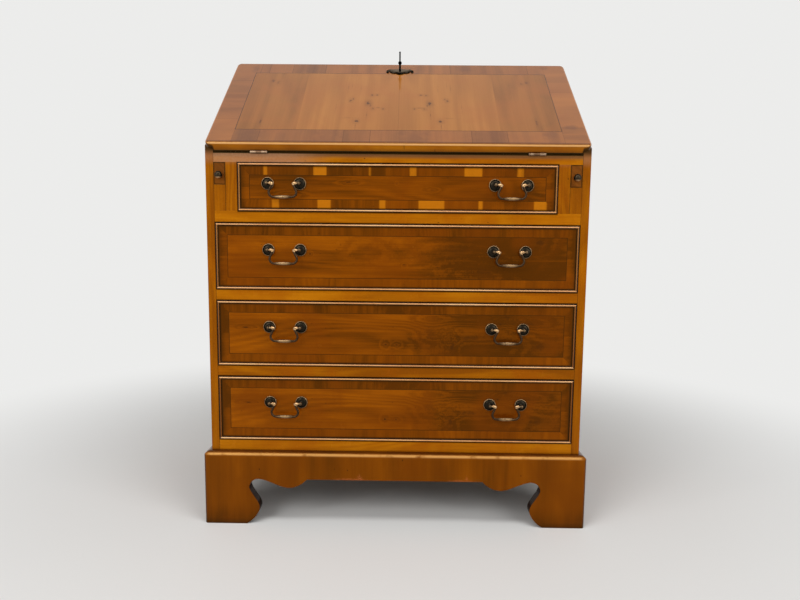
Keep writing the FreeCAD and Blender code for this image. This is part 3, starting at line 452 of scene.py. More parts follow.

# %% [markdown]
# A stain gives a leaf three tones for its dark, middle and light wood, a slow drift towards red, and a
# nearly black brown for pips and knots. The lacquer is thin and hand rubbed: its gloss is a plain number
# on the shader, its roughness drifts a little with old polish, and its edges are eased by less than a
# millimetre, as sanding leaves them. Old wax and painted shade darken the corners.

# %% Stain and lacquer
KNOT_BROWN = rgb(52, 21, 5)
# Brown of old wax, also used as painted shade in joints and corners.
WAX_AND_SHADE_BROWN = rgb(48, 22, 8)
AMBER_SHEEN = (1, 0.52, 0.10, 1)
LACQUER_RELIEF = 0.035 * MM


def coat(colour, *layers):
    """Lays further colours over a colour, each as far as its mask says."""
    for mask, over in layers:
        colour = mask.blend(colour, over)
    return colour


def stained(leaf, dark, middle, light, red, red_drift=0.55):
    """Colour of a stained leaf."""
    finish = leaf.finish
    colour = finish.ramp(leaf.tone, (0.22, dark), (0.5, middle), (0.78, light))
    drift = finish.mottle(7, 3, 0.6, 0.8).fade(0.42, 0.68)
    return coat(colour, (drift * red_drift, red), (leaf.dark, KNOT_BROWN))


def waxed_and_shaded(finish, colour, reach=6 * MM, depth=0.85):
    """Old wax and painted shade in joints and corners."""
    # Painted shade and wax: the colour darkens where joints and corners close the surface in.
    open_air = finish.crevice(reach).fade(0.15, 0.85)
    return ((1 - open_air) * depth).blend(colour, WAX_AND_SHADE_BROWN)


def lacquered(leaf, colour, rough=0.26, gloss=0.34, tint=AMBER_SHEEN, ease=0.9 * MM, haze=0.16):
    """Rubbed lacquer over a coloured leaf; haze is how much its roughness drifts."""
    finish = leaf.finish
    polish = finish.mottle(26, 3, 0.6)
    return finish.shade({
        "Base Color": colour,
        "Roughness": polish.scale(haze, rough - haze / 2),
        "Specular IOR Level": gloss,
        "Specular Tint": tint,
        "Normal": finish.bump(leaf.relief, LACQUER_RELIEF, ease),
    })


print("stain and lacquer ready")

# %% [markdown]
# ## Carcase boards
# Gables stand with their grain upright, and rails, bottom, top and writing board lie with theirs across
# the desk. All wear the same warm amber, a shade lighter than the drawers. Behind the front edge the wood
# is painted nearly black as shade. These helpers find such places: the arrises of the drawer openings,
# where shade is painted, the seams of the frame, drawn as dark joint lines, and the slot under the fall,
# where painted shade, a painted shadow and a painted dull reflection lie.

# %% Find painted shade and seams on the carcase
# Dark brown of painted shade, and of the joint lines round the lopers.
JOINT_AND_SHADE_DARK = rgb(24, 10, 4)
# Brown of the painted shadow below the lower edge of the fall.
FALL_SHADOW_BROWN = rgb(95, 67, 48)
# Pale grey-brown of a painted dull reflection.
DULL_REFLECTION_PALE = rgb(165, 122, 92)
# Near-black of painted shade in openings and slots, and of the seams of the frame.
SEAM_AND_SHADE_BLACK = rgb(10, 4, 2)
DRAWERS = range(1, 5)
SIDE_TIGHTNESS = 1.7


def near_openings(finish):
    """1 on the arrises of the four drawer openings, where shade is painted, 0 a few millimetres away from
    them.
    """
    deepest = -1
    for number in DRAWERS:
        low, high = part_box("drawer_%d_front" % number)
        aside = (high.x - abs(finish.x)) * SIDE_TIGHTNESS
        deepest = aside & finish.z.inside(low.z, high.z) | deepest
    return deepest.fade_mm(-3.6, -1.8)


def between(finish, low, high):
    """1 on what lies between two heights."""
    return finish.z.near((low + high) / 2, (high - low) / 2)


def seams(finish):
    """Thin dark lines where the rails meet the gables, and down both sides of the lopers."""
    aside = abs(finish.x)
    beside_drawer = between(finish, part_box("drawer_1_front")[0].z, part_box("writing_board")[0].z)
    at_gable = aside.near(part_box("right_gable")[0].x, 0.5 * MM)
    at_post = aside.near(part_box("loper_right")[0].x, 0.7 * MM) * beside_drawer
    return (at_gable | at_post) * 0.55


def shaded_bed_edge(finish, colour):
    """Front edge of the writing board: painted black shade in the slot under the fall, a painted shadow
    below it, and a painted dull reflection towards the left.
    """
    below = hinge_line.z - finish.z
    in_front = finish.faces(-TO_BACK)
    # Painted shadow of the fall just below the slot, and a painted dull reflection towards the left.
    fall_shadow = below.fade_mm(13, 5) * 0.75 * in_front
    speckle = finish.mottle(300, 3, 0.6).scale(0.8, 0.22)
    left_reflection = finish.x.fade(-0.12, -0.24) * speckle * in_front
    # Painted shade that turns the slot under the fall black.
    slot = below.fade_mm(3.4, 2) * (finish.y - front_plane).fade_mm(6, 3)
    return coat(colour, (fall_shadow, FALL_SHADOW_BROWN), (left_reflection, DULL_REFLECTION_PALE), (slot, SEAM_AND_SHADE_BLACK))


# The arrises round the openings carry painted shade.
print("painted_shade lies round %d drawer openings" % len(DRAWERS))

# %% [markdown]
# A board's ends and edges follow the same field as its faces, because all three directions go into it,
# as in a solid board. The faces that line the drawer openings are painted black as shade from a
# millimetre behind the front, which draws the dark line round each drawer.

# %% Finish the carcase
AMBER = (rgb(128, 66, 2), rgb(167, 96, 3), rgb(190, 117, 9), rgb(146, 70, 2))
# Heights over which the fronts of the boards take a painted shadow under the lip of the fall.
UNDER_FALL = (hinge_line.z - 9 * MM, hinge_line.z + 6 * MM)
# Heights over which upright fronts grow greyer below the fall: painted shade and reflection.
SHADED_TOP = (hinge_line.z - 28 * MM, hinge_line.z - 10 * MM)


def amber_board(name, upright, seed, hidden_faces, tone=0, bed_edge_shade=False):
    """An amber board; hidden_faces are the ways in which it lines the openings of the front."""
    finish = Finish(name)
    if upright:
        along, across = finish.z, finish.x + finish.y
        duller = finish.z.fade(0.5, 0.72) * (0.6 * tone)
    else:
        along, across = finish.x, finish.z + finish.y * 0.8
        third_rail = between(finish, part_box("drawer_4_front")[1].z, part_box("drawer_3_front")[0].z)
        duller = third_rail * -0.2
    leaf = Leaf(finish, along, across, seed)
    leaf.tone = leaf.tone + tone + duller
    colour = waxed_and_shaded(finish, stained(leaf, *AMBER))
    behind = finish.y - front_plane
    at_front = behind.fade_mm(2, 1)
    # Painted shade and dull reflection on the upper fronts of upright boards, below the fall.
    if upright:
        colour = (finish.z.fade(*SHADED_TOP) * 0.34 * at_front).blend(colour, DULL_REFLECTION_PALE)
    # Painted shade: the faces that line the drawer openings turn black behind the front.
    lining = 0
    for way in hidden_faces:
        lining = finish.faces(way) | lining
    inside = behind.fade_mm(0.4, 1.2)
    # Painted shade on the arrises of the openings and under the lip of the fall; the seams are dark joints.
    shadow = (near_openings(finish) | finish.z.fade(*UNDER_FALL)) * 0.85
    dark = lining * inside * 0.9 | shadow * at_front | seams(finish)
    colour = dark.blend(colour, SEAM_AND_SHADE_BLACK)
    # The writing board's front edge takes painted shade, shadow and reflection.
    if bed_edge_shade:
        colour = shaded_bed_edge(finish, colour)
    return lacquered(leaf, colour)


wear(amber_board("left_amber", True, 1.3, [ACROSS], -0.2), "left_gable")
wear(amber_board("right_amber", True, 1.3, [-ACROSS], -0.16), "right_gable")
wear(amber_board("post_amber", True, 1.3, [ACROSS, -ACROSS], -0.07), "loper_partitions")
wear(amber_board("level_amber", False, 4.1, [UP, -UP]), "drawer_rails")
wear(amber_board("bottom_amber", False, 4.6, [UP, -UP], 0.08), "bottom_board")
wear(amber_board("carrier_amber", True, 2.4, [UP, -UP], -0.14), "loper_carriers")
wear(amber_board("top_amber", False, 4.1, []), "top_board")
wear(amber_board("bed_amber", False, 4.1, [-UP], bed_edge_shade=True), "writing_board")

# %% [markdown]
# ## Drawer fronts
# Each front is a picture in three parts: a centre leaf with its grain lying across, a dark line of
# stringing, and a crossband whose grain runs outwards, mitred at the corners and pieced from offcuts.
# The two lower fronts are cut in turn from one log, so they show the same knots. The shallow front has
# pale sapwood pieces in its band.

# %% List what the drawer veneers show
# Sapwood pieces of the shallow drawer's band, each as (start, end) across the desk, in millimetres.
SAPWOOD_ABOVE = [(-265, -259), (-166, -141), (-56, -53), (25, 37), (133, 167), (237, 249)]
SAPWOOD_BELOW = [(-249, -236), (-158, -133), (-35, -24), (43, 93), (162, 169), (272, 296)]

# Knots as (across the desk, above the middle, half length, half height, strength), in millimetres.
SHALLOW_KNOTS = [
    (-96, 11, 7, 1.5, 0.9), (-1, 9, 0.9, 1.2, 0.5), (70, -3, 5, 1.4, 0.4), (-210, -14, 8, 2, 0.3),
]
SECOND_KNOTS = [
    (-174, 6, 1.6, 1.4, 0.8), (15, -14, 1.8, 1.3, 0.7), (-60, 17, 12, 7, 0.22),
    (285, 32, 9, 6, 0.5), (120, 14, 26, 10, 0.28), (175, -26, 20, 6, 0.3),
]
LOWER_KNOTS = [
    (-21, -20, 3.2, 2.6, 0.9), (2, -21, 3, 1.8, 0.6), (-305, 12, 6, 1.2, 0.8),
    (114, -24, 5, 9, 0.62), (150, -6, 22, 4, 0.45), (210, 24, 3.2, 2.4, 0.75),
    (226, 38, 8, 3, 0.45), (292, -22, 16, 8, 0.42), (268, 26, 14, 4, 0.35),
    (70, 4, 10, 16, 0.2),
]
print("knots:", len(SHALLOW_KNOTS), len(SECOND_KNOTS), len(LOWER_KNOTS))

# %% [markdown]
# All three parts are flat, so they are drawn by position: the distance to the nearest edge says which
# part a point is in, and the two distances compared say on which side of the mitre it lies. The centre
# leaf of each front grows darker towards its right side by its own amount, and some are lighter or
# darker as a whole or at the left end.

# %% Finish the drawer fronts
HONEY = (rgb(76, 34, 0), rgb(124, 60, 1), rgb(156, 82, 2), rgb(112, 49, 1))
SAPWOOD = rgb(188, 110, 12)
STRING_BROWN = rgb(46, 22, 5)
INNER_FACE = rgb(150, 104, 60)
BEAD = 4.5 * MM
BAND = 18.5 * MM
STRING = 1.1 * MM
PIECE = 118 * MM


def sapwood_mask(finish, pieces):
    """1 on the listed pieces of a band."""
    mask = 0
    for start, end in pieces:
        middle, half = (start + end) / 2 * MM, (end - start) / 2 * MM
        mask = abs(finish.x - middle).fade(half + 2.4 * MM, half - 1.4 * MM) | mask
    return mask


def drawer_face(number, seed, knots, shade, lift=0, left_lift=0, sapwood=None):
    """One front: its right side is shaded, and its leaf or the leaf's left end may be lifted in tone."""
    finish = Finish("drawer_%d_face" % number)
    low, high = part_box("drawer_%d_front" % number)
    above = finish.z - (low.z + high.z) / 2
    from_side = high.x - BEAD - abs(finish.x)
    from_rail = (high.z - low.z) / 2 - BEAD - abs(above)
    margin = from_side & from_rail
    in_band = margin < BAND
    past_mitre = in_band * (from_rail < from_side)
    along, across = past_mitre.pick(finish.x, above), past_mitre.pick(above, finish.x)
    leaf = Leaf(finish, along, across, in_band.pick(seed, seed + 3.7), rings=17, knots=knots, pips=0.5)

    step = finish.math("FLOOR", across.scale(1 / PIECE, seed))
    piece_tone = finish.field("TexWhiteNoise", {"W": step}, "Value", noise_dimensions="1D")
    is_above = above > 0
    # The upper band is darker all along its length: painted shade.
    banded = in_band * (piece_tone.scale(0.14, -0.11) + is_above * -0.13)
    outer_shade = from_side.fade_mm(14, 0) * -0.2
    ends = finish.x.fade(-0.06, 0.16) * -shade + finish.x.fade(-0.12, -0.26) * left_lift
    calm = in_band.pick(leaf.tone + lift, leaf.tone.scale(0.62, 0.16))
    leaf.tone = calm + banded + outer_shade + in_band.pick(ends, 0)
    colour = stained(leaf, *HONEY)
    if sapwood:
        pale = is_above.pick(sapwood_mask(finish, sapwood[1]), sapwood_mask(finish, sapwood[0]))
        pale = pale * past_mitre * leaf.tone.fade(-0.05, 0.38)
        colour = (pale * 0.82).blend(colour, SAPWOOD)

    line = margin.near(BAND + STRING / 2, STRING / 2)
    # Painted shadow of the bead: the band darkens in a narrow strip next to it.
    rim = margin.fade_mm(4.6, 0.8)
    colour = coat(colour, (line * 0.88, STRING_BROWN), (rim * 0.88, JOINT_AND_SHADE_DARK))
    colour = finish.faces(-TO_BACK).blend(INNER_FACE, waxed_and_shaded(finish, colour, 5 * MM, 0.6))
    wear(lacquered(leaf, colour, rough=0.24), "drawer_%d_front" % number)


drawer_face(1, 2.2, SHALLOW_KNOTS, 0.14, -0.04, -0.14, (SAPWOOD_ABOVE, SAPWOOD_BELOW))
drawer_face(2, 7.9, SECOND_KNOTS, 0.3)
drawer_face(3, 12.4, LOWER_KNOTS, 0.28, 0, 0.12)
drawer_face(4, 12.4, LOWER_KNOTS, 0.34, 0.09, 0.06)

# %% [markdown]
# ## Cock bead
# A cock bead is a thin round-nosed strip that saves the edge of the veneer from knocks. Its nose carries
# a painted highlight and its flanks painted shade, so the colour follows the direction that the surface
# looks in. Light falls from above, so the painted highlight of the level strips is much paler than that
# of the upright ones, which grows brighter towards the upper drawers.

# %% Finish the cock beads
# Painted highlights of the bead's nose, level and upright, and the painted shade of its flanks.
BEAD_LEVEL_HIGHLIGHT = (rgb(196, 130, 74), rgb(228, 172, 116), rgb(246, 204, 154), rgb(216, 148, 96))
BEAD_UPRIGHT_HIGHLIGHT = (rgb(124, 66, 8), rgb(160, 106, 50))
BEAD_FLANK_SHADE = rgb(38, 10, 3)
BEAD_SHEEN = (1, 0.76, 0.5, 1)


def bead_finish(number):
    finish = Finish("drawer_%d_highlighted_bead" % number)
    low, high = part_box("drawer_%d_front" % number)
    leaf = Leaf(finish, finish.x + finish.z, finish.y, 5.5, rings=6, pips=0.3)
    upright = high.x - abs(finish.x) < finish.z.inside(low.z, high.z)
    # Painted highlight: bright on the level strips, dimmer on the upright ones and brighter higher up.
    upright_highlight = finish.z.fade(0.28, 0.72).blend(*BEAD_UPRIGHT_HIGHLIGHT)
    brightened = upright.blend(stained(leaf, *BEAD_LEVEL_HIGHLIGHT), upright_highlight)
    inward = finish.vector(finish.math("SIGN", finish.x) * -0.5, -0.87)
    # The nose takes the painted highlight and the flanks the painted shade.
    nose_highlight = upright.pick(finish.faces(-TO_BACK, 0.74, 0.96), finish.faces(inward, 0.8, 0.97))
    colour = nose_highlight.blend(BEAD_FLANK_SHADE, brightened)
    return lacquered(leaf, colour, gloss=0.4, tint=BEAD_SHEEN, ease=None)


for number in DRAWERS:
    wear(bead_finish(number), "drawer_%d_cock_bead" % number)

# %% [markdown]
# ## The fall
# The fall is the show piece: four leaves of knotty yew, opened like a book about the middle so that left
# and right are mirror images, inside a wide pieced crossband. Its coordinates are its own: across the
# desk, and up the slope from the hinge. All lists are in millimetres.

# %% List what the fall veneer shows
# Knots as (up the slope, from the middle, half length, half width, strength).
FALL_KNOTS = [
    (167, 103, 5, 3, 0.62), (173, 98, 4, 2.2, 0.5), (155, 65, 7, 4.4, 0.8),
    (147, 60, 6, 2.4, 0.4), (190, 58, 3.4, 2.6, 0.66), (191, 47, 3, 2.8, 0.58),
    (133, 54, 4.2, 3, 0.66), (133, 33, 3, 2.4, 0.6), (137, 44, 1.6, 8, 0.4),
    (84, 86, 5.4, 4, 0.8), (66, 87, 9, 0.9, 0.4), (96, 104, 1.4, 9, 0.22),
    (108, 66, 7, 0.9, 0.45), (250, 282, 4.6, 3.4, 0.5), (243, 270, 8, 4, 0.34),
    (80, 281, 9, 1.6, 0.62), (222, 112, 13, 0.8, 0.34), (230, 104, 9, 0.7, 0.3),
    (216, 84, 15, 0.8, 0.24), (140, 132, 14, 0.7, 0.25),
]
# Smoky patches of the bands as (across the desk, up the slope, half width, half height, strength).
SMOKE = [
    (-298, 24, 30, 46, 0.36), (-234, 20, 14, 40, 0.16), (-140, 24, 34, 46, 0.3), (-330, 306, 12, 20, 0.3),
    (-205, 312, 22, 30, 0.26), (180, 24, 44, 40, 0.24), (300, 34, 16, 26, 0.36), (345, 66, 18, 9, 0.4),
    (150, 312, 24, 18, 0.3), (330, 318, 14, 10, 0.3), (28, 24, 34, 36, 0.34), (-352, 258, 18, 5, 0.2),
]
# Joints between the pieces of each band, as (place along the band, step in tone past it).
BAND_JOINTS = {
    "left": [(-5, 0.06), (88, -0.10), (252, 0.06)],
    "right": [(-5, 0.02), (64, 0.12), (206, -0.10), (255, 0.02)],
    "top": [(-318, -0.12), (-298, 0.10), (-245, -0.08), (-170, 0.08), (115, -0.05), (291, 0.05)],
    "bottom": [(-390, -0.08), (-276, 0.06), (-108, -0.05), (-55, 0.10), (146, -0.10), (217, 0.10)],
}
print("knots on each half of the fall:", len(FALL_KNOTS))

# %% [markdown]
# Three helpers read those lists: one measures a piece of the fall along its slope, one draws soft oval
# patches with cloudy rims, and one walks along a band and adds a step of tone and a glue line at each
# joint.

# %% Read the lists of the fall
GLUE_HALF = 0.5 * MM


def slope_reach(name):
    """Where a piece of the fall starts and ends up the slope, and how far it reaches from the middle."""
    corners = [vertex.co for vertex in nodes[name].data.vertices]
    climbs = [(corner_shade - hinge_line).dot(up_slope) for corner_shade in corners]
    return min(climbs), max(climbs), max(corner_shade.x for corner_shade in corners)


def soft_patches(finish, first, second, patches):
    """1 in the middle of each oval patch, falling to 0 at its rim; the patches are in millimetres."""
    cloudy = finish.mottle(55, 3, 0.65).swing(1.6)
    mask = 0
    for *oval, strength in patches:
        distance = finish.oval(first, second, *[value * MM for value in oval]) + cloudy
        mask = distance.fade(1.2, 0.2) * strength | mask
    return mask


def pieced(run, joined):
    """Tone and glue lines of a band that is pieced from offcuts."""
    tone, lines = 0, 0
    for place, step in joined:
        tone = (run > place * MM) * step + tone
        lines = run.near(place * MM, GLUE_HALF) | lines
    return tone, lines


print("the fall climbs from %.4f m to %.4f m and reaches %.4f m aside" % slope_reach("fall_panel"))

# %% [markdown]
# Taking the distance from the middle line without its sign mirrors the leaves at no cost. The side bands
# run right through, and the upper and lower bands butt against them. Thin dark lines mark the stringing,
# the butt joints, the book joint and the glue.

# %% Draw the face of the fall
SLOPE_YEW = (rgb(126, 76, 28), rgb(155, 97, 39), rgb(176, 114, 50), rgb(152, 86, 36))
SLOPE_BAND = (rgb(106, 64, 32), rgb(138, 84, 42), rgb(160, 98, 46), rgb(134, 76, 38))
BAND_SMOKE = rgb(84, 50, 36)
FIELD_HALF_WIDTH = 327 * MM
FIELD_LOW, FIELD_HIGH = 49.5 * MM, 287.5 * MM
LEAF_JOINT = 205 * MM


def band_pieces(finish, slope, side_band, is_high):
    """Step of tone and glue line at each point of the four bands."""
    runs = {"left": slope, "right": slope, "top": finish.x, "bottom": finish.x}
    left, right, top, bottom = [pieced(runs[side], BAND_JOINTS[side]) for side in runs]
    is_right = finish.x > 0
    pairs = zip(zip(left, right), zip(bottom, top))
    return [side_band.pick(is_high.pick(*ends), is_right.pick(*sides)) for sides, ends in pairs]


def fall_face(finish, slope, aside):
    """The leaf of the face and its colour: four leaves of veneer inside a pieced band."""
    middle, half_field = (FIELD_LOW + FIELD_HIGH) / 2, (FIELD_HIGH - FIELD_LOW) / 2
    from_middle = abs(slope - middle)
    outer_leaf = aside > LEAF_JOINT
    side_band = aside > FIELD_HALF_WIDTH
    cross_band = (from_middle > half_field) * (1 - side_band)
    in_band = side_band | cross_band
    in_field = 1 - in_band

    along = side_band.pick(slope, finish.x)
    across = side_band.pick(cross_band.pick(aside + outer_leaf * 0.9, finish.x), slope)
    seed = in_band.pick(3.1, side_band.pick(8.6, 9.4))
    leaf = Leaf(finish, along, across, seed, rings=8, stretch=9, pips=0.15, fibres=0.18, clouds=0.42)
    knots = 0
    for knot in FALL_KNOTS:
        knots = leaf.knot(slope, aside, knot)[1] | knots
    leaf.dark = leaf.dark | knots * in_field

    step, glue = band_pieces(finish, slope, side_band, slope > middle)
    leaf.tone = leaf.tone + step * in_band + outer_leaf * in_field * -0.2
    field = stained(leaf, *SLOPE_YEW, red_drift=0.35)
    band = stained(leaf, *SLOPE_BAND, red_drift=0.35)
    smoke = soft_patches(finish, finish.x, slope, SMOKE)
    colour = in_band.blend(field, smoke.blend(band, BAND_SMOKE))

    field_edge = aside - FIELD_HALF_WIDTH | from_middle - half_field
    string = field_edge.near(0, 0.65 * MM)
    butt = aside.near(FIELD_HALF_WIDTH, 0.35 * MM) * 0.4
    book = aside.near(0, 0.4 * MM) * in_field * 0.35
    lines = string | butt | book | glue * in_band * 0.62
    return leaf, (lines * 0.85).blend(colour, STRING_BROWN)


print("field of the fall: %.0f by %.0f mm" % (2 * FIELD_HALF_WIDTH / MM, (FIELD_HIGH - FIELD_LOW) / MM))

# %% [markdown]
# Edges and inner side are plain amber. The lower edge is a small moulding whose light and shade are
# painted: a shoulder in painted shade, a painted cream highlight on the nose, a shaded foot, painted black
# shade in the slot of the hinges, and painted shade at the ends where the lip passes over the gables.
# The sides carry a painted pale reflection. The face is polished more than any other board and has its
# own clear sheen.

# %% Finish the fall
# Painted highlight of the nose, painted pale reflection of the sides, and the brown of the lip line and of
# the painted shade on the shoulder.
NOSE_HIGHLIGHT_CREAM = rgb(222, 168, 106)
SIDE_REFLECTION = rgb(170, 130, 106)
LIP_LINE_AND_SHADE_BROWN = rgb(70, 32, 12)
LIP_SHADE = rgb(96, 54, 8)
CLEAR_SHEEN = (1, 0.95, 0.88, 1)
LIPPING = 3.4 * MM
SHADED_SHOULDER_WAY = outward * 0.94 - up_slope * 0.34
NOSE_HIGHLIGHT_WAY = outward * 0.5 - up_slope * 0.866


def fall_edge(finish, climb, out, from_end):
    """Colour of the edges, by the climb from the lower edge, out of the slope and in from the ends."""
    leaf = Leaf(finish, finish.x, finish.y + finish.z, 6.2)
    at_foot = climb.fade_mm(2, 1)
    shaded_shoulder = finish.faces(SHADED_SHOULDER_WAY, 0.86, 0.95) * climb.fade_mm(9, 6)
    nose_highlight = finish.faces(NOSE_HIGHLIGHT_WAY, 0.86, 0.96) * climb.fade_mm(6, 4) * from_end.fade_mm(0.5, 4)
    end_shade = (out + from_end * 0.3).fade_mm(21, 15) * from_end.fade_mm(18, 14)
    side_reflection_mask = from_end.fade_mm(5, 2) * finish.faces(outward, 0.2, 0.6)
    # Painted shade on the foot and shoulder, a painted highlight on the nose, painted shade at the ends and
    # in the hinge slot, and a painted reflection on the sides.
    return coat(
        waxed_and_shaded(finish, stained(leaf, *AMBER)),
        (out.fade_mm(12, 1) * at_foot * 0.7, LIP_SHADE),
        (shaded_shoulder * 0.65, LIP_LINE_AND_SHADE_BROWN),
        (nose_highlight * 0.9, NOSE_HIGHLIGHT_CREAM),
        (end_shade * climb.fade_mm(7, 3) * 0.92, SEAM_AND_SHADE_BLACK),
        (side_reflection_mask * 0.8, SIDE_REFLECTION),
        (out.fade_mm(3.4, 2) & at_foot, SEAM_AND_SHADE_BLACK),
    )


def fall_finish():
    finish = Finish("fall_veneer")
    low, high, half = slope_reach("fall_panel")
    slope, out, aside = finish.from_hinge(up_slope), finish.from_hinge(outward), abs(finish.x)
    climb, from_end = slope - low, half - aside
    leaf, face = fall_face(finish, slope, aside)
    # A dark line where the lipping meets the veneer, widened as painted shade.
    face = (climb.fade_mm(8.6, 7) * 0.55).blend(face, LIP_LINE_AND_SHADE_BROWN)
    to_edge = from_end & slope.inside(low, high)
    veneered = finish.faces(outward, 0.9, 0.97) & (to_edge > LIPPING)
    colour = veneered.blend(fall_edge(finish, climb, out, from_end), face)
    sheen = veneered.blend(AMBER_SHEEN, CLEAR_SHEEN)
    return lacquered(leaf, colour, 0.09, 0.4, sheen, ease=0.6 * MM, haze=0.05)


wear(fall_finish(), "fall_panel")

# %% [markdown]
# ## Plinth
# The plinth is cut from wide boards and veneered with the grain upright, a tone darker than the drawers,
# with many pips. The colour deepens towards the floor, painted shade darkens the lowest edge, the rounded
# corners and the flat of the top, and the lower edge of the front is chipped. The sawn faces of the
# brackets are unpolished and painted dark as shade, reddish underneath and plain brown at the back. The
# rounded top nose carries a painted highlight.

# %% Finish the plinth
RUSSET = (rgb(78, 35, 0), rgb(112, 54, 0), rgb(136, 70, 1), rgb(102, 45, 0))
# Painted highlight of the rounded top nose.
PLINTH_NOSE_HIGHLIGHT = rgb(206, 150, 84)
CHIP_PALE = rgb(168, 92, 52)
CHIP_RED = rgb(84, 30, 12)
# Dark brown of the unpolished sawn faces, painted dark as shade.
SAWN_SHADE_BROWN = rgb(34, 16, 7)
END_BROWN = rgb(104, 62, 30)
SAWN_GLOSS, RUBBED_GLOSS = 0.04, 0.4
# Chips along the lower edge of the front, as (across the desk, height, half width, half height, strength).
CHIPS = [(-71, 101, 6, 10, 1), (-92, 98, 40, 3.4, 0.8), (149, 101, 4, 10, 1), (137, 98, 24, 3.4, 0.8)]


def plinth_finish():
    finish = Finish("russet_plinth")
    across = finish.x + finish.y
    leaf = Leaf(finish, finish.z, across, 10.2, rings=6, pips=1, fibres=0.16)
    wide = finish.noise(finish.vector(across, finish.z * 0.2, 2), 11, 1)
    leaf.tone = leaf.tone + wide.swing(0.3) + finish.z.fade(0.05, 0) * -0.25
    chips = soft_patches(finish, finish.x, finish.z, CHIPS) * finish.mottle(420, 2).fade(0.44, 0.56)

    sideways, _, tilt = finish.split(finish.facing)
    sideways = abs(sideways)
    ahead = finish.faces(-TO_BACK, 0.3, 0.6)
    from_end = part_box("plinth_right")[1].x - abs(finish.x)
    at_end = from_end < 9 * MM
    on_top = finish.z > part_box("plinth_front")[1].z - 14 * MM
    # Painted shade on the rounded vertical corners.
    corner_shade = sideways.fade(0.3, 0.6) * sideways.fade(0.98, 0.85) * at_end
    nose_highlight = tilt.fade(0.2, 0.54) * tilt.fade(0.76, 0.62) * ahead.pick(0.6, from_end.fade_mm(3, 14))
    nose_highlight = nose_highlight * finish.mottle(45, 3).fade(0.2, 0.5) * on_top
    # Painted highlight on the nose; painted shade on the corners, the flat of the top and the lowest edge.
    veneer = coat(
        waxed_and_shaded(finish, stained(leaf, *RUSSET)),
        (chips, CHIP_PALE),
        (corner_shade * 0.6, JOINT_AND_SHADE_DARK),
        (nose_highlight * 0.9, PLINTH_NOSE_HIGHLIGHT),
        (tilt.fade(0.72, 0.9) * on_top * 0.6, JOINT_AND_SHADE_DARK),
        (finish.z.fade_mm(14, 0) * 0.55, JOINT_AND_SHADE_DARK),
    )

    outside = ahead | sideways.fade(0.3, 0.6) * at_end | tilt.fade(0.1, 0.3) * on_top
    ragged = finish.mottle(60, 3).fade(0.45, 0.6)
    at_back = finish.faces(TO_BACK, 0.5, 0.8)
    # Sawn faces: unpolished wood, painted dark as shade.
    sawn = coat(SAWN_SHADE_BROWN, (finish.faces(-UP) * ragged, CHIP_RED), (at_back, END_BROWN))
    colour = outside.blend(sawn, veneer)
    gloss = outside.pick(SAWN_GLOSS, RUBBED_GLOSS)
    return lacquered(leaf, colour, 0.22, gloss, ease=0.8 * MM)


wear(plinth_finish(), "plinth_front", "plinth_left", "plinth_right")

# %% [markdown]
# ## Wood that nobody polishes
# Inside, a cabinet maker saves the good wood. Runners, blocks and dowels are softwood, the drawer boxes
# a pale brown hardwood, the nest of pigeonholes a thin amber wood with a soft sheen, and the back is
# plywood. Each takes the same leaf with its own grain and stain, and little lacquer.

# %% Finish the plain wood
PALE_DEAL = (rgb(150, 110, 66), rgb(186, 144, 94), rgb(208, 170, 120), rgb(176, 126, 82))
LINING = (rgb(134, 90, 52), rgb(172, 126, 80), rgb(196, 152, 104), rgb(160, 108, 66))
NEST = (rgb(116, 66, 20), rgb(160, 100, 40), rgb(186, 128, 62), rgb(140, 78, 34))
PLY = (rgb(120, 84, 48), rgb(156, 116, 72), rgb(178, 138, 92), rgb(142, 98, 60))
PLAIN_GLOSS = 0.25


def plain_wood(name, grain, tones, seed, rough, rings=12):
    """Wood with its grain across the desk (x), from front to back (y) or upright (z)."""
    finish = Finish(name)
    ways = {"x": finish.x, "y": finish.y, "z": finish.z}
    along = ways.pop(grain)
    first, second = ways.values()
    leaf = Leaf(finish, along, first + second, seed, rings=rings, pips=0)
    colour = waxed_and_shaded(finish, stained(leaf, *tones, red_drift=0.3), 8 * MM, 0.5)
    return lacquered(leaf, colour, rough, PLAIN_GLOSS, ease=0.5 * MM)


wear(plain_wood("pale_deal", "y", PALE_DEAL, 2.9, 0.55), "drawer_runners", "plinth_blocks", "top_dowels")
wear(plain_wood("pale_deal_level", "x", PALE_DEAL, 6.6, 0.55), "drawer_stops", "plinth_back")
wear(plain_wood("drawer_lining", "y", LINING, 8.3, 0.45), *["drawer_%d_box" % number for number in DRAWERS])
wear(plain_wood("nest_amber", "x", NEST, 5.2, 0.34), "nest_shelf")
wear(plain_wood("nest_amber_upright", "z", NEST, 7.7, 0.34), "nest_uprights")
wear(plain_wood("back_plywood", "x", PLY, 3.4, 0.5, rings=20), "back_panel")

# %% [markdown]
# The lopers are stained a dark red, because their ends show in the front. A black line runs round each
# end, where it is let in between the gable and its post.

# %% Finish the lopers
RED_STAIN = (rgb(68, 30, 8), rgb(113, 60, 16), rgb(140, 80, 26), rgb(97, 42, 14))


def loper_finish():
    finish = Finish("red_loper")
    low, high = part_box("loper_right")
    leaf = Leaf(finish, finish.y, finish.x + finish.z, 11.1, rings=8, pips=0.6)
    colour = stained(leaf, *RED_STAIN)
    margin = abs(finish.x).inside(low.x, high.x) & finish.z.inside(low.z, high.z)
    outline = margin.fade_mm(2.6, 0.6) * finish.faces(-TO_BACK)
    colour = (outline * 0.8).blend(colour, JOINT_AND_SHADE_DARK)
    return lacquered(leaf, colour, 0.34, 0.3, ease=0.5 * MM)


wear(loper_finish(), "loper_left", "loper_right")

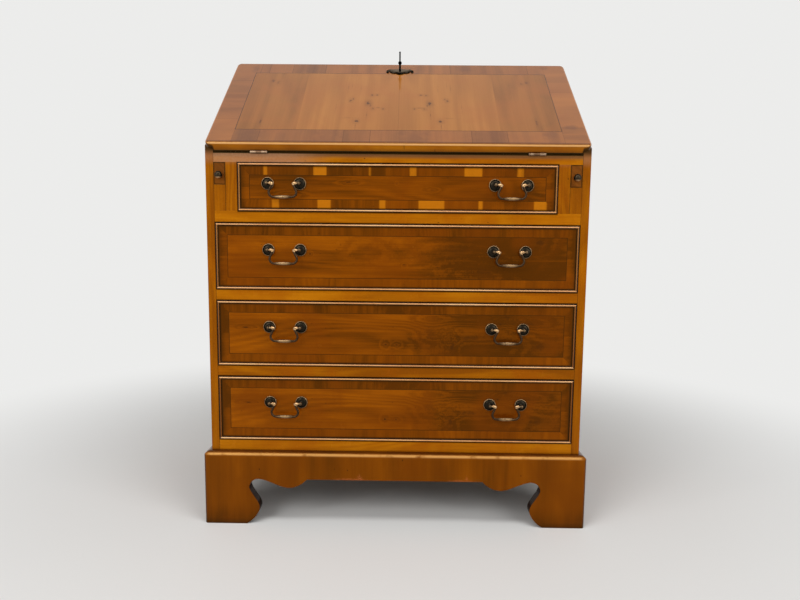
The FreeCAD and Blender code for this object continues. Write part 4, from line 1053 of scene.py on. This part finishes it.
# %% [markdown]
# ## Old brass
# The handles were cast, lacquered dark to look old, and then handled. Fingers and cloths keep the raised
# parts bright: the rim of each rosette, the ball, the acorn ends and the belly of the grip. How raised a
# point is can be read from its distance to the axis of its post, or to the bail's middle, so the
# brightness is drawn by position, and a noise breaks it up.

# %% Finish the handles and knobs
BRIGHT_BRASS = rgb(212, 172, 124)
DARK_BRASS = rgb(24, 24, 21)
BAIL_BROWN = rgb(46, 32, 23)
POST_HALF = 32 * MM
TARNISH_SCALE = 420


def cast_brass(finish, bright, dark=DARK_BRASS):
    """Dark lacquered brass that is rubbed bright where the mask says."""
    tarnish = finish.mottle(TARNISH_SCALE, 3, 0.65)
    spots = finish.mottle(1500, 2)
    brightened = bright * tarnish.fade(0.30, 0.52)
    return finish.shade({
        "Base Color": coat(dark, (brightened, BRIGHT_BRASS), (spots.fade(0.6, 0.72) * 0.5, dark)),
        "Metallic": 1,
        "Roughness": tarnish.scale(0.22, 0.22),
        "Normal": finish.bump(tarnish + spots, 0.03 * MM),
    })


def mount_finish(number):
    """Rosettes and posts of one drawer: a bright rim, a dark dish, a bright ball."""
    finish = Finish("drawer_%d_mount_brass" % number)
    handle = Vector(joints["drawer_%d_bail_right_swing" % number]["pos_m"])
    from_post = abs(abs(finish.x) - handle.x) - POST_HALF
    rim = finish.vector(from_post, finish.z - handle.z).length().fade_mm(11, 11.8)
    ball = (front_plane - finish.y).fade_mm(9, 10.5)
    return cast_brass(finish, rim * 0.44 | ball * 0.2 | 0.02)


def bail_finish(number, side):
    """A bail: acorn ends and the middle of the grip rubbed bright, the necks left dark."""
    finish = Finish("drawer_%d_bail_%s_brass" % (number, side))
    middle = Vector(joints["drawer_%d_bail_%s_swing" % (number, side)]["pos_m"])
    drop = middle.z - finish.z
    grip = drop.fade_mm(21, 26) * abs(finish.x - middle.x).fade_mm(20, 2)
    acorn = drop.fade_mm(4.2, 3)
    return cast_brass(finish, grip * 0.5 | acorn * 0.9 | 0.05, BAIL_BROWN)


def knob_finish():
    """A turned knob: a painted highlight on its rim against the wood, and a painted reflection of the floor
    on its underside.
    """
    finish = Finish("loper_knob_brass")
    ahead = front_plane - finish.y
    crown = ahead.fade_mm(10, 13)
    # Painted highlight on the rim, and below it a painted reflection of the floor.
    rim = ahead.fade_mm(2.2, 1.2)
    brightened = finish.faces(-UP, 0.35, 0.8) * ahead.fade_mm(8, 10)
    return cast_brass(finish, crown * 0.05 | rim * 0.6 | brightened * 0.9)


for number in DRAWERS:
    wear(mount_finish(number), "drawer_%d_handle_mounts" % number)
    for side in ("left", "right"):
        wear(bail_finish(number, side), "drawer_%d_bail_%s" % (number, side))
wear(knob_finish(), "loper_knob_left", "loper_knob_right")

# %% [markdown]
# Hinges, lock and strike plate are rolled brass that was never darkened: a yellow metal with fine
# brushed lines and a brown bloom in its corners, duller on the fall. The escutcheon is cast and bronzed
# almost black, rubbed grey round the keyhole, and the key is blued iron.

# %% Finish the small ironwork
BROWN_BLOOM = rgb(70, 48, 26)
DARK_EDGE = (0.12, 0.11, 0.1, 1)
key_climb = (key_place - hinge_line).dot(up_slope)
PLATE_FACE = (0, key_climb / MM + 0.5, 32, 15, 0.8)


def rolled_brass(name, bright, dull):
    """Plain brass with brushed lines, a dull bloom and brown corners."""
    finish = Finish(name)
    brushed = finish.noise(finish.vector(finish.x * 40, finish.y * 900, finish.z), 1, 2)
    bloom = finish.mottle(160, 3, 0.6).fade(0.46, 0.7)
    corners = finish.crevice(3 * MM).fade(0.8, 0.2)
    return finish.shade({
        "Base Color": coat(bright, (bloom * 0.7, dull), (corners, BROWN_BLOOM)),
        "Metallic": 1,
        "Roughness": brushed.scale(0.25, 0.18),
        "Normal": finish.bump(brushed, 0.02 * MM),
    })


def dark_metal(name, hollow, worn, rough, face=None):
    """Cast or forged metal, dark all over and brighter where it is rubbed; face is a patch on the front."""
    finish = Finish(name)
    cast = finish.mottle(520, 3, 0.6)
    brightened = finish.mottle(190, 2).fade(0.5, 0.72) * 0.4
    if face:
        patch = soft_patches(finish, finish.x, finish.from_hinge(up_slope), [face])
        brightened = brightened | finish.faces(outward, 0.8, 0.95) * patch
    return finish.shade({
        "Base Color": brightened.blend(hollow, worn),
        "Metallic": 1,
        "Specular Tint": DARK_EDGE,
        "Roughness": cast.scale(0.25, rough),
        "Normal": finish.bump(cast, 0.05 * MM, 0.4 * MM),
    })


brass = rolled_brass("rolled_brass", rgb(168, 142, 116), rgb(104, 78, 56))
bronze = dark_metal("bronzed_plate", rgb(14, 12, 10), rgb(150, 138, 124), 0.28, PLATE_FACE)
wear(brass, "hinge_bed_leaves", "hinge_pins", "strike_plate", "lock_case", "lock_bolt")
wear(rolled_brass("dull_brass", rgb(128, 100, 76), rgb(84, 60, 42)), "hinge_fall_leaves")
wear(bronze, "escutcheon")
wear(dark_metal("blued_iron", rgb(9, 9, 9), rgb(30, 28, 27), 0.3), "key")

# %% [markdown]
# ## Leather and its gilt border
# The open fall is a writing table, lined with thin leather. A cell pattern gives its skin of tiny
# pillows, and it is paler in the middle, where the hand rests. Its border is tooled with a hot wheel
# through gold leaf: two fine lines with a row of lozenges between them, an old bookbinder's pattern.

# %% Finish the leather
LEATHER_GREEN = (rgb(24, 50, 36), rgb(38, 74, 54), rgb(62, 96, 72))
GILT = rgb(206, 164, 86)
GILT_LINES = (7 * MM, 15 * MM)
GILT_HALF = 0.4 * MM
LOZENGE_PITCH = 8 * MM
LOZENGE_HALF = 2.3 * MM


def leather_finish():
    finish = Finish("tooled_leather")
    slope = finish.from_hinge(up_slope)
    low, high, half = slope_reach("fall_leather")
    from_end, from_edge = half - abs(finish.x), slope.inside(low, high)
    margin = from_end & from_edge
    lines = margin.near(GILT_LINES[0], GILT_HALF) | margin.near(GILT_LINES[1], GILT_HALF)
    run = (from_end < from_edge).pick(finish.x, slope)
    beat = finish.math("PINGPONG", run, LOZENGE_PITCH / 2)
    from_row = abs(margin - sum(GILT_LINES) / 2)
    lozenge = beat + from_row * 1.1 < LOZENGE_HALF
    gilt = (lines | lozenge) * finish.mottle(190, 3).fade(0.34, 0.46)
    cells = finish.field("TexVoronoi", {"Vector": finish.place, "Scale": 900}, "Distance")
    cloud = finish.mottle(9, 3, 0.6)
    palm = margin.fade(0.02, 0.11)
    tone = cloud * 0.55 + palm * 0.25 + cells.swing(0.12)
    dark, middle, light = LEATHER_GREEN
    colour = finish.ramp(tone, (0.15, dark), (0.45, middle), (0.8, light))
    return finish.shade({
        "Base Color": gilt.blend(colour, GILT),
        "Metallic": gilt,
        "Roughness": gilt.pick(cloud.scale(0.2, 0.38), 0.32),
        "Specular IOR Level": 0.35,
        "Normal": finish.bump(cells + gilt * -1.5, 0.06 * MM),
    })


wear(leather_finish(), "fall_leather")

# %% [markdown]
# ## The two small drawers
# Each inner drawer has a turned brass knob in its front. Wood and knob share one mesh, so the finish
# tells them apart by place: what stands in front of the drawer's face is brass.

# %% Finish the inner drawers
KNOB_REACH = 13 * MM


def inner_drawer_finish():
    finish = Finish("inner_drawer")
    leaf = Leaf(finish, finish.x, finish.z + finish.y, 9.9, rings=14, pips=0.4)
    colour = waxed_and_shaded(finish, stained(leaf, *NEST), 6 * MM, 0.6)
    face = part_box("nest_drawer_left")[0].y + KNOB_REACH
    knob = finish.y < face - 0.2 * MM
    tarnish = finish.mottle(TARNISH_SCALE, 3, 0.65)
    knob_colour = tarnish.fade(0.4, 0.62).blend(BRIGHT_BRASS, DARK_BRASS)
    return finish.shade({
        "Base Color": knob.blend(colour, knob_colour),
        "Metallic": knob,
        "Roughness": knob.pick(0.32, tarnish.scale(0.25, 0.2)),
        "Specular IOR Level": 0.3,
        "Normal": finish.bump(leaf.relief, 0.03 * MM, 0.5 * MM),
    })


wear(inner_drawer_finish(), "nest_drawer_left", "nest_drawer_right")

# %% [markdown]
# ## Screws and pins
# Hinges, lock and strike plate are held by slotted screws, the escutcheon by two round-headed pins, and
# the back by a row of panel pins. A screw head is a low dome, built as rings of points from the rim to
# the crown. The points near the middle line are pressed down, so that the slot is real and not drawn.

# %% Build screw heads and pins
HEAD_STEPS = 20
HEAD_RINGS = 7
SLOT_FLOOR = 0.35
FIRST_TURN, NEXT_TURN = 0.6, 1.9


def head_mesh(shape, place, way, radius, rise, slot, slot_turn):
    """One screw or pin head, standing on a surface; slot is the slot's half width, or 0 for none."""
    turn = way.to_track_quat("Z", "Y").to_matrix() @ Matrix.Rotation(slot_turn, 3, "Z")
    rings = []
    for i in range(HEAD_RINGS):
        share = 1 - i / HEAD_RINGS
        height = rise * math.sqrt(1 - share ** 2)
        ring = []
        for j in range(HEAD_STEPS):
            angle = FULL_TURN * j / HEAD_STEPS
            x, y = radius * share * math.cos(angle), radius * share * math.sin(angle)
            lift = height * SLOT_FLOOR if slot and abs(y) < slot else height
            ring.append(shape.verts.new(place + turn @ Vector((x, y, lift))))
        rings.append(ring)
    crown = shape.verts.new(place + turn @ Vector((0, 0, rise * (SLOT_FLOOR if slot else 1))))
    for j in range(HEAD_STEPS):
        k = (j + 1) % HEAD_STEPS
        for inner, outer in zip(rings[1:], rings):
            shape.faces.new((outer[j], outer[k], inner[k], inner[j]))
        shape.faces.new((rings[-1][j], rings[-1][k], crown))
    shape.faces.new(list(reversed(rings[0])))


def add_heads(name, body, slot_name, places, way, radius, rise, slot=0, metal=brass):
    """A group of heads of one metal that rides on one body."""
    shape = bmesh.new()
    for i, place in enumerate(places):
        head_mesh(shape, place, way, radius, rise, slot, FIRST_TURN + NEXT_TURN * i)
    heads = add_mesh(name, shape, metal)
    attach(heads, body)
    print("%-24s %d heads" % (name, len(places)))


# %% [markdown]
# Each hinge leaf has three screws, two by the knuckle and one further in. The lock case has four, and
# the strike plate two. The screws of the bed stand upright in the writing board, and those of the fall
# point into its inner side and swing with it.

# %% Drive the screws
SCREW = (2.4 * MM, 0.45 * MM, 0.42 * MM)
PLATE_PIN = (1.3 * MM, 0.7 * MM)
LEAF_HALF = 17 * MM
LEAF_SCREWS = [(-11 * MM, 9 * MM), (0, 21 * MM), (11 * MM, 9 * MM)]
LOCK_SCREWS = [(x * MM, climb * MM) for x in (-18, 18) for climb in (-15, 10)]
STRIKE_SCREWS = (-20 * MM, 20 * MM)
PLATE_PINS = [(-22 * MM, 1.4 * MM), (22 * MM, 1.4 * MM)]


def on_fall(aside, climb, out=0):
    return hinge_line + ACROSS * aside + up_slope * climb + outward * out


hinge_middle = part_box("hinge_bed_leaves")[1].x - LEAF_HALF
leaf_places = [(side * hinge_middle + x, depth) for side in (-1, 1) for x, depth in LEAF_SCREWS]
bed_places = [hinge_line + ACROSS * x + TO_BACK * depth for x, depth in leaf_places]
add_heads("hinge_bed_screws", "carcase", "hinge_brass", bed_places, UP, *SCREW)
fall_places = [on_fall(x, climb) for x, climb in leaf_places]
add_heads("hinge_fall_screws", "fall", "hinge_brass", fall_places, -outward, *SCREW)

lock_places = [on_fall(x, key_climb + climb) for x, climb in LOCK_SCREWS]
add_heads("lock_screws", "fall", "hinge_brass", lock_places, -outward, *SCREW)
strike_low, strike_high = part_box("strike_plate")
strike_y = (strike_low.y + strike_high.y) / 2
strike_places = [Vector((x, strike_y, strike_low.z)) for x in STRIKE_SCREWS]
add_heads("strike_screws", "carcase", "hinge_brass", strike_places, -UP, *SCREW)

plate_out = max((vertex.co - hinge_line).dot(outward) for vertex in nodes["escutcheon"].data.vertices)
pin_places = [on_fall(x, key_climb + climb, plate_out) for x, climb in PLATE_PINS]
add_heads("escutcheon_pins", "fall", "dark_bronze", pin_places, outward, *PLATE_PIN, metal=bronze)

# %% [markdown]
# The back panel is thin, so it is pinned all round, about a hand's width apart. The pins are spaced
# evenly along each edge, and the corner pins are set once.

# %% Pin the back
BACK_PIN = (1.6 * MM, 0.3 * MM)
PIN_INSET, PIN_PITCH = 9 * MM, 95 * MM


def evenly(start, end):
    count = max(2, round((end - start) / PIN_PITCH))
    return [start + (end - start) * i / count for i in range(count + 1)]


back_low, back_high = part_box("back_panel")
columns = evenly(back_low.x + PIN_INSET, back_high.x - PIN_INSET)
rows = evenly(back_low.z + PIN_INSET, back_high.z - PIN_INSET)
back_pins = [Vector((x, back_high.y, z)) for x in columns for z in (rows[0], rows[-1])]
back_pins += [Vector((x, back_high.y, z)) for x in (columns[0], columns[-1]) for z in rows[1:-1]]
add_heads("back_pins", "carcase", "hinge_brass", back_pins, TO_BACK, *BACK_PIN)
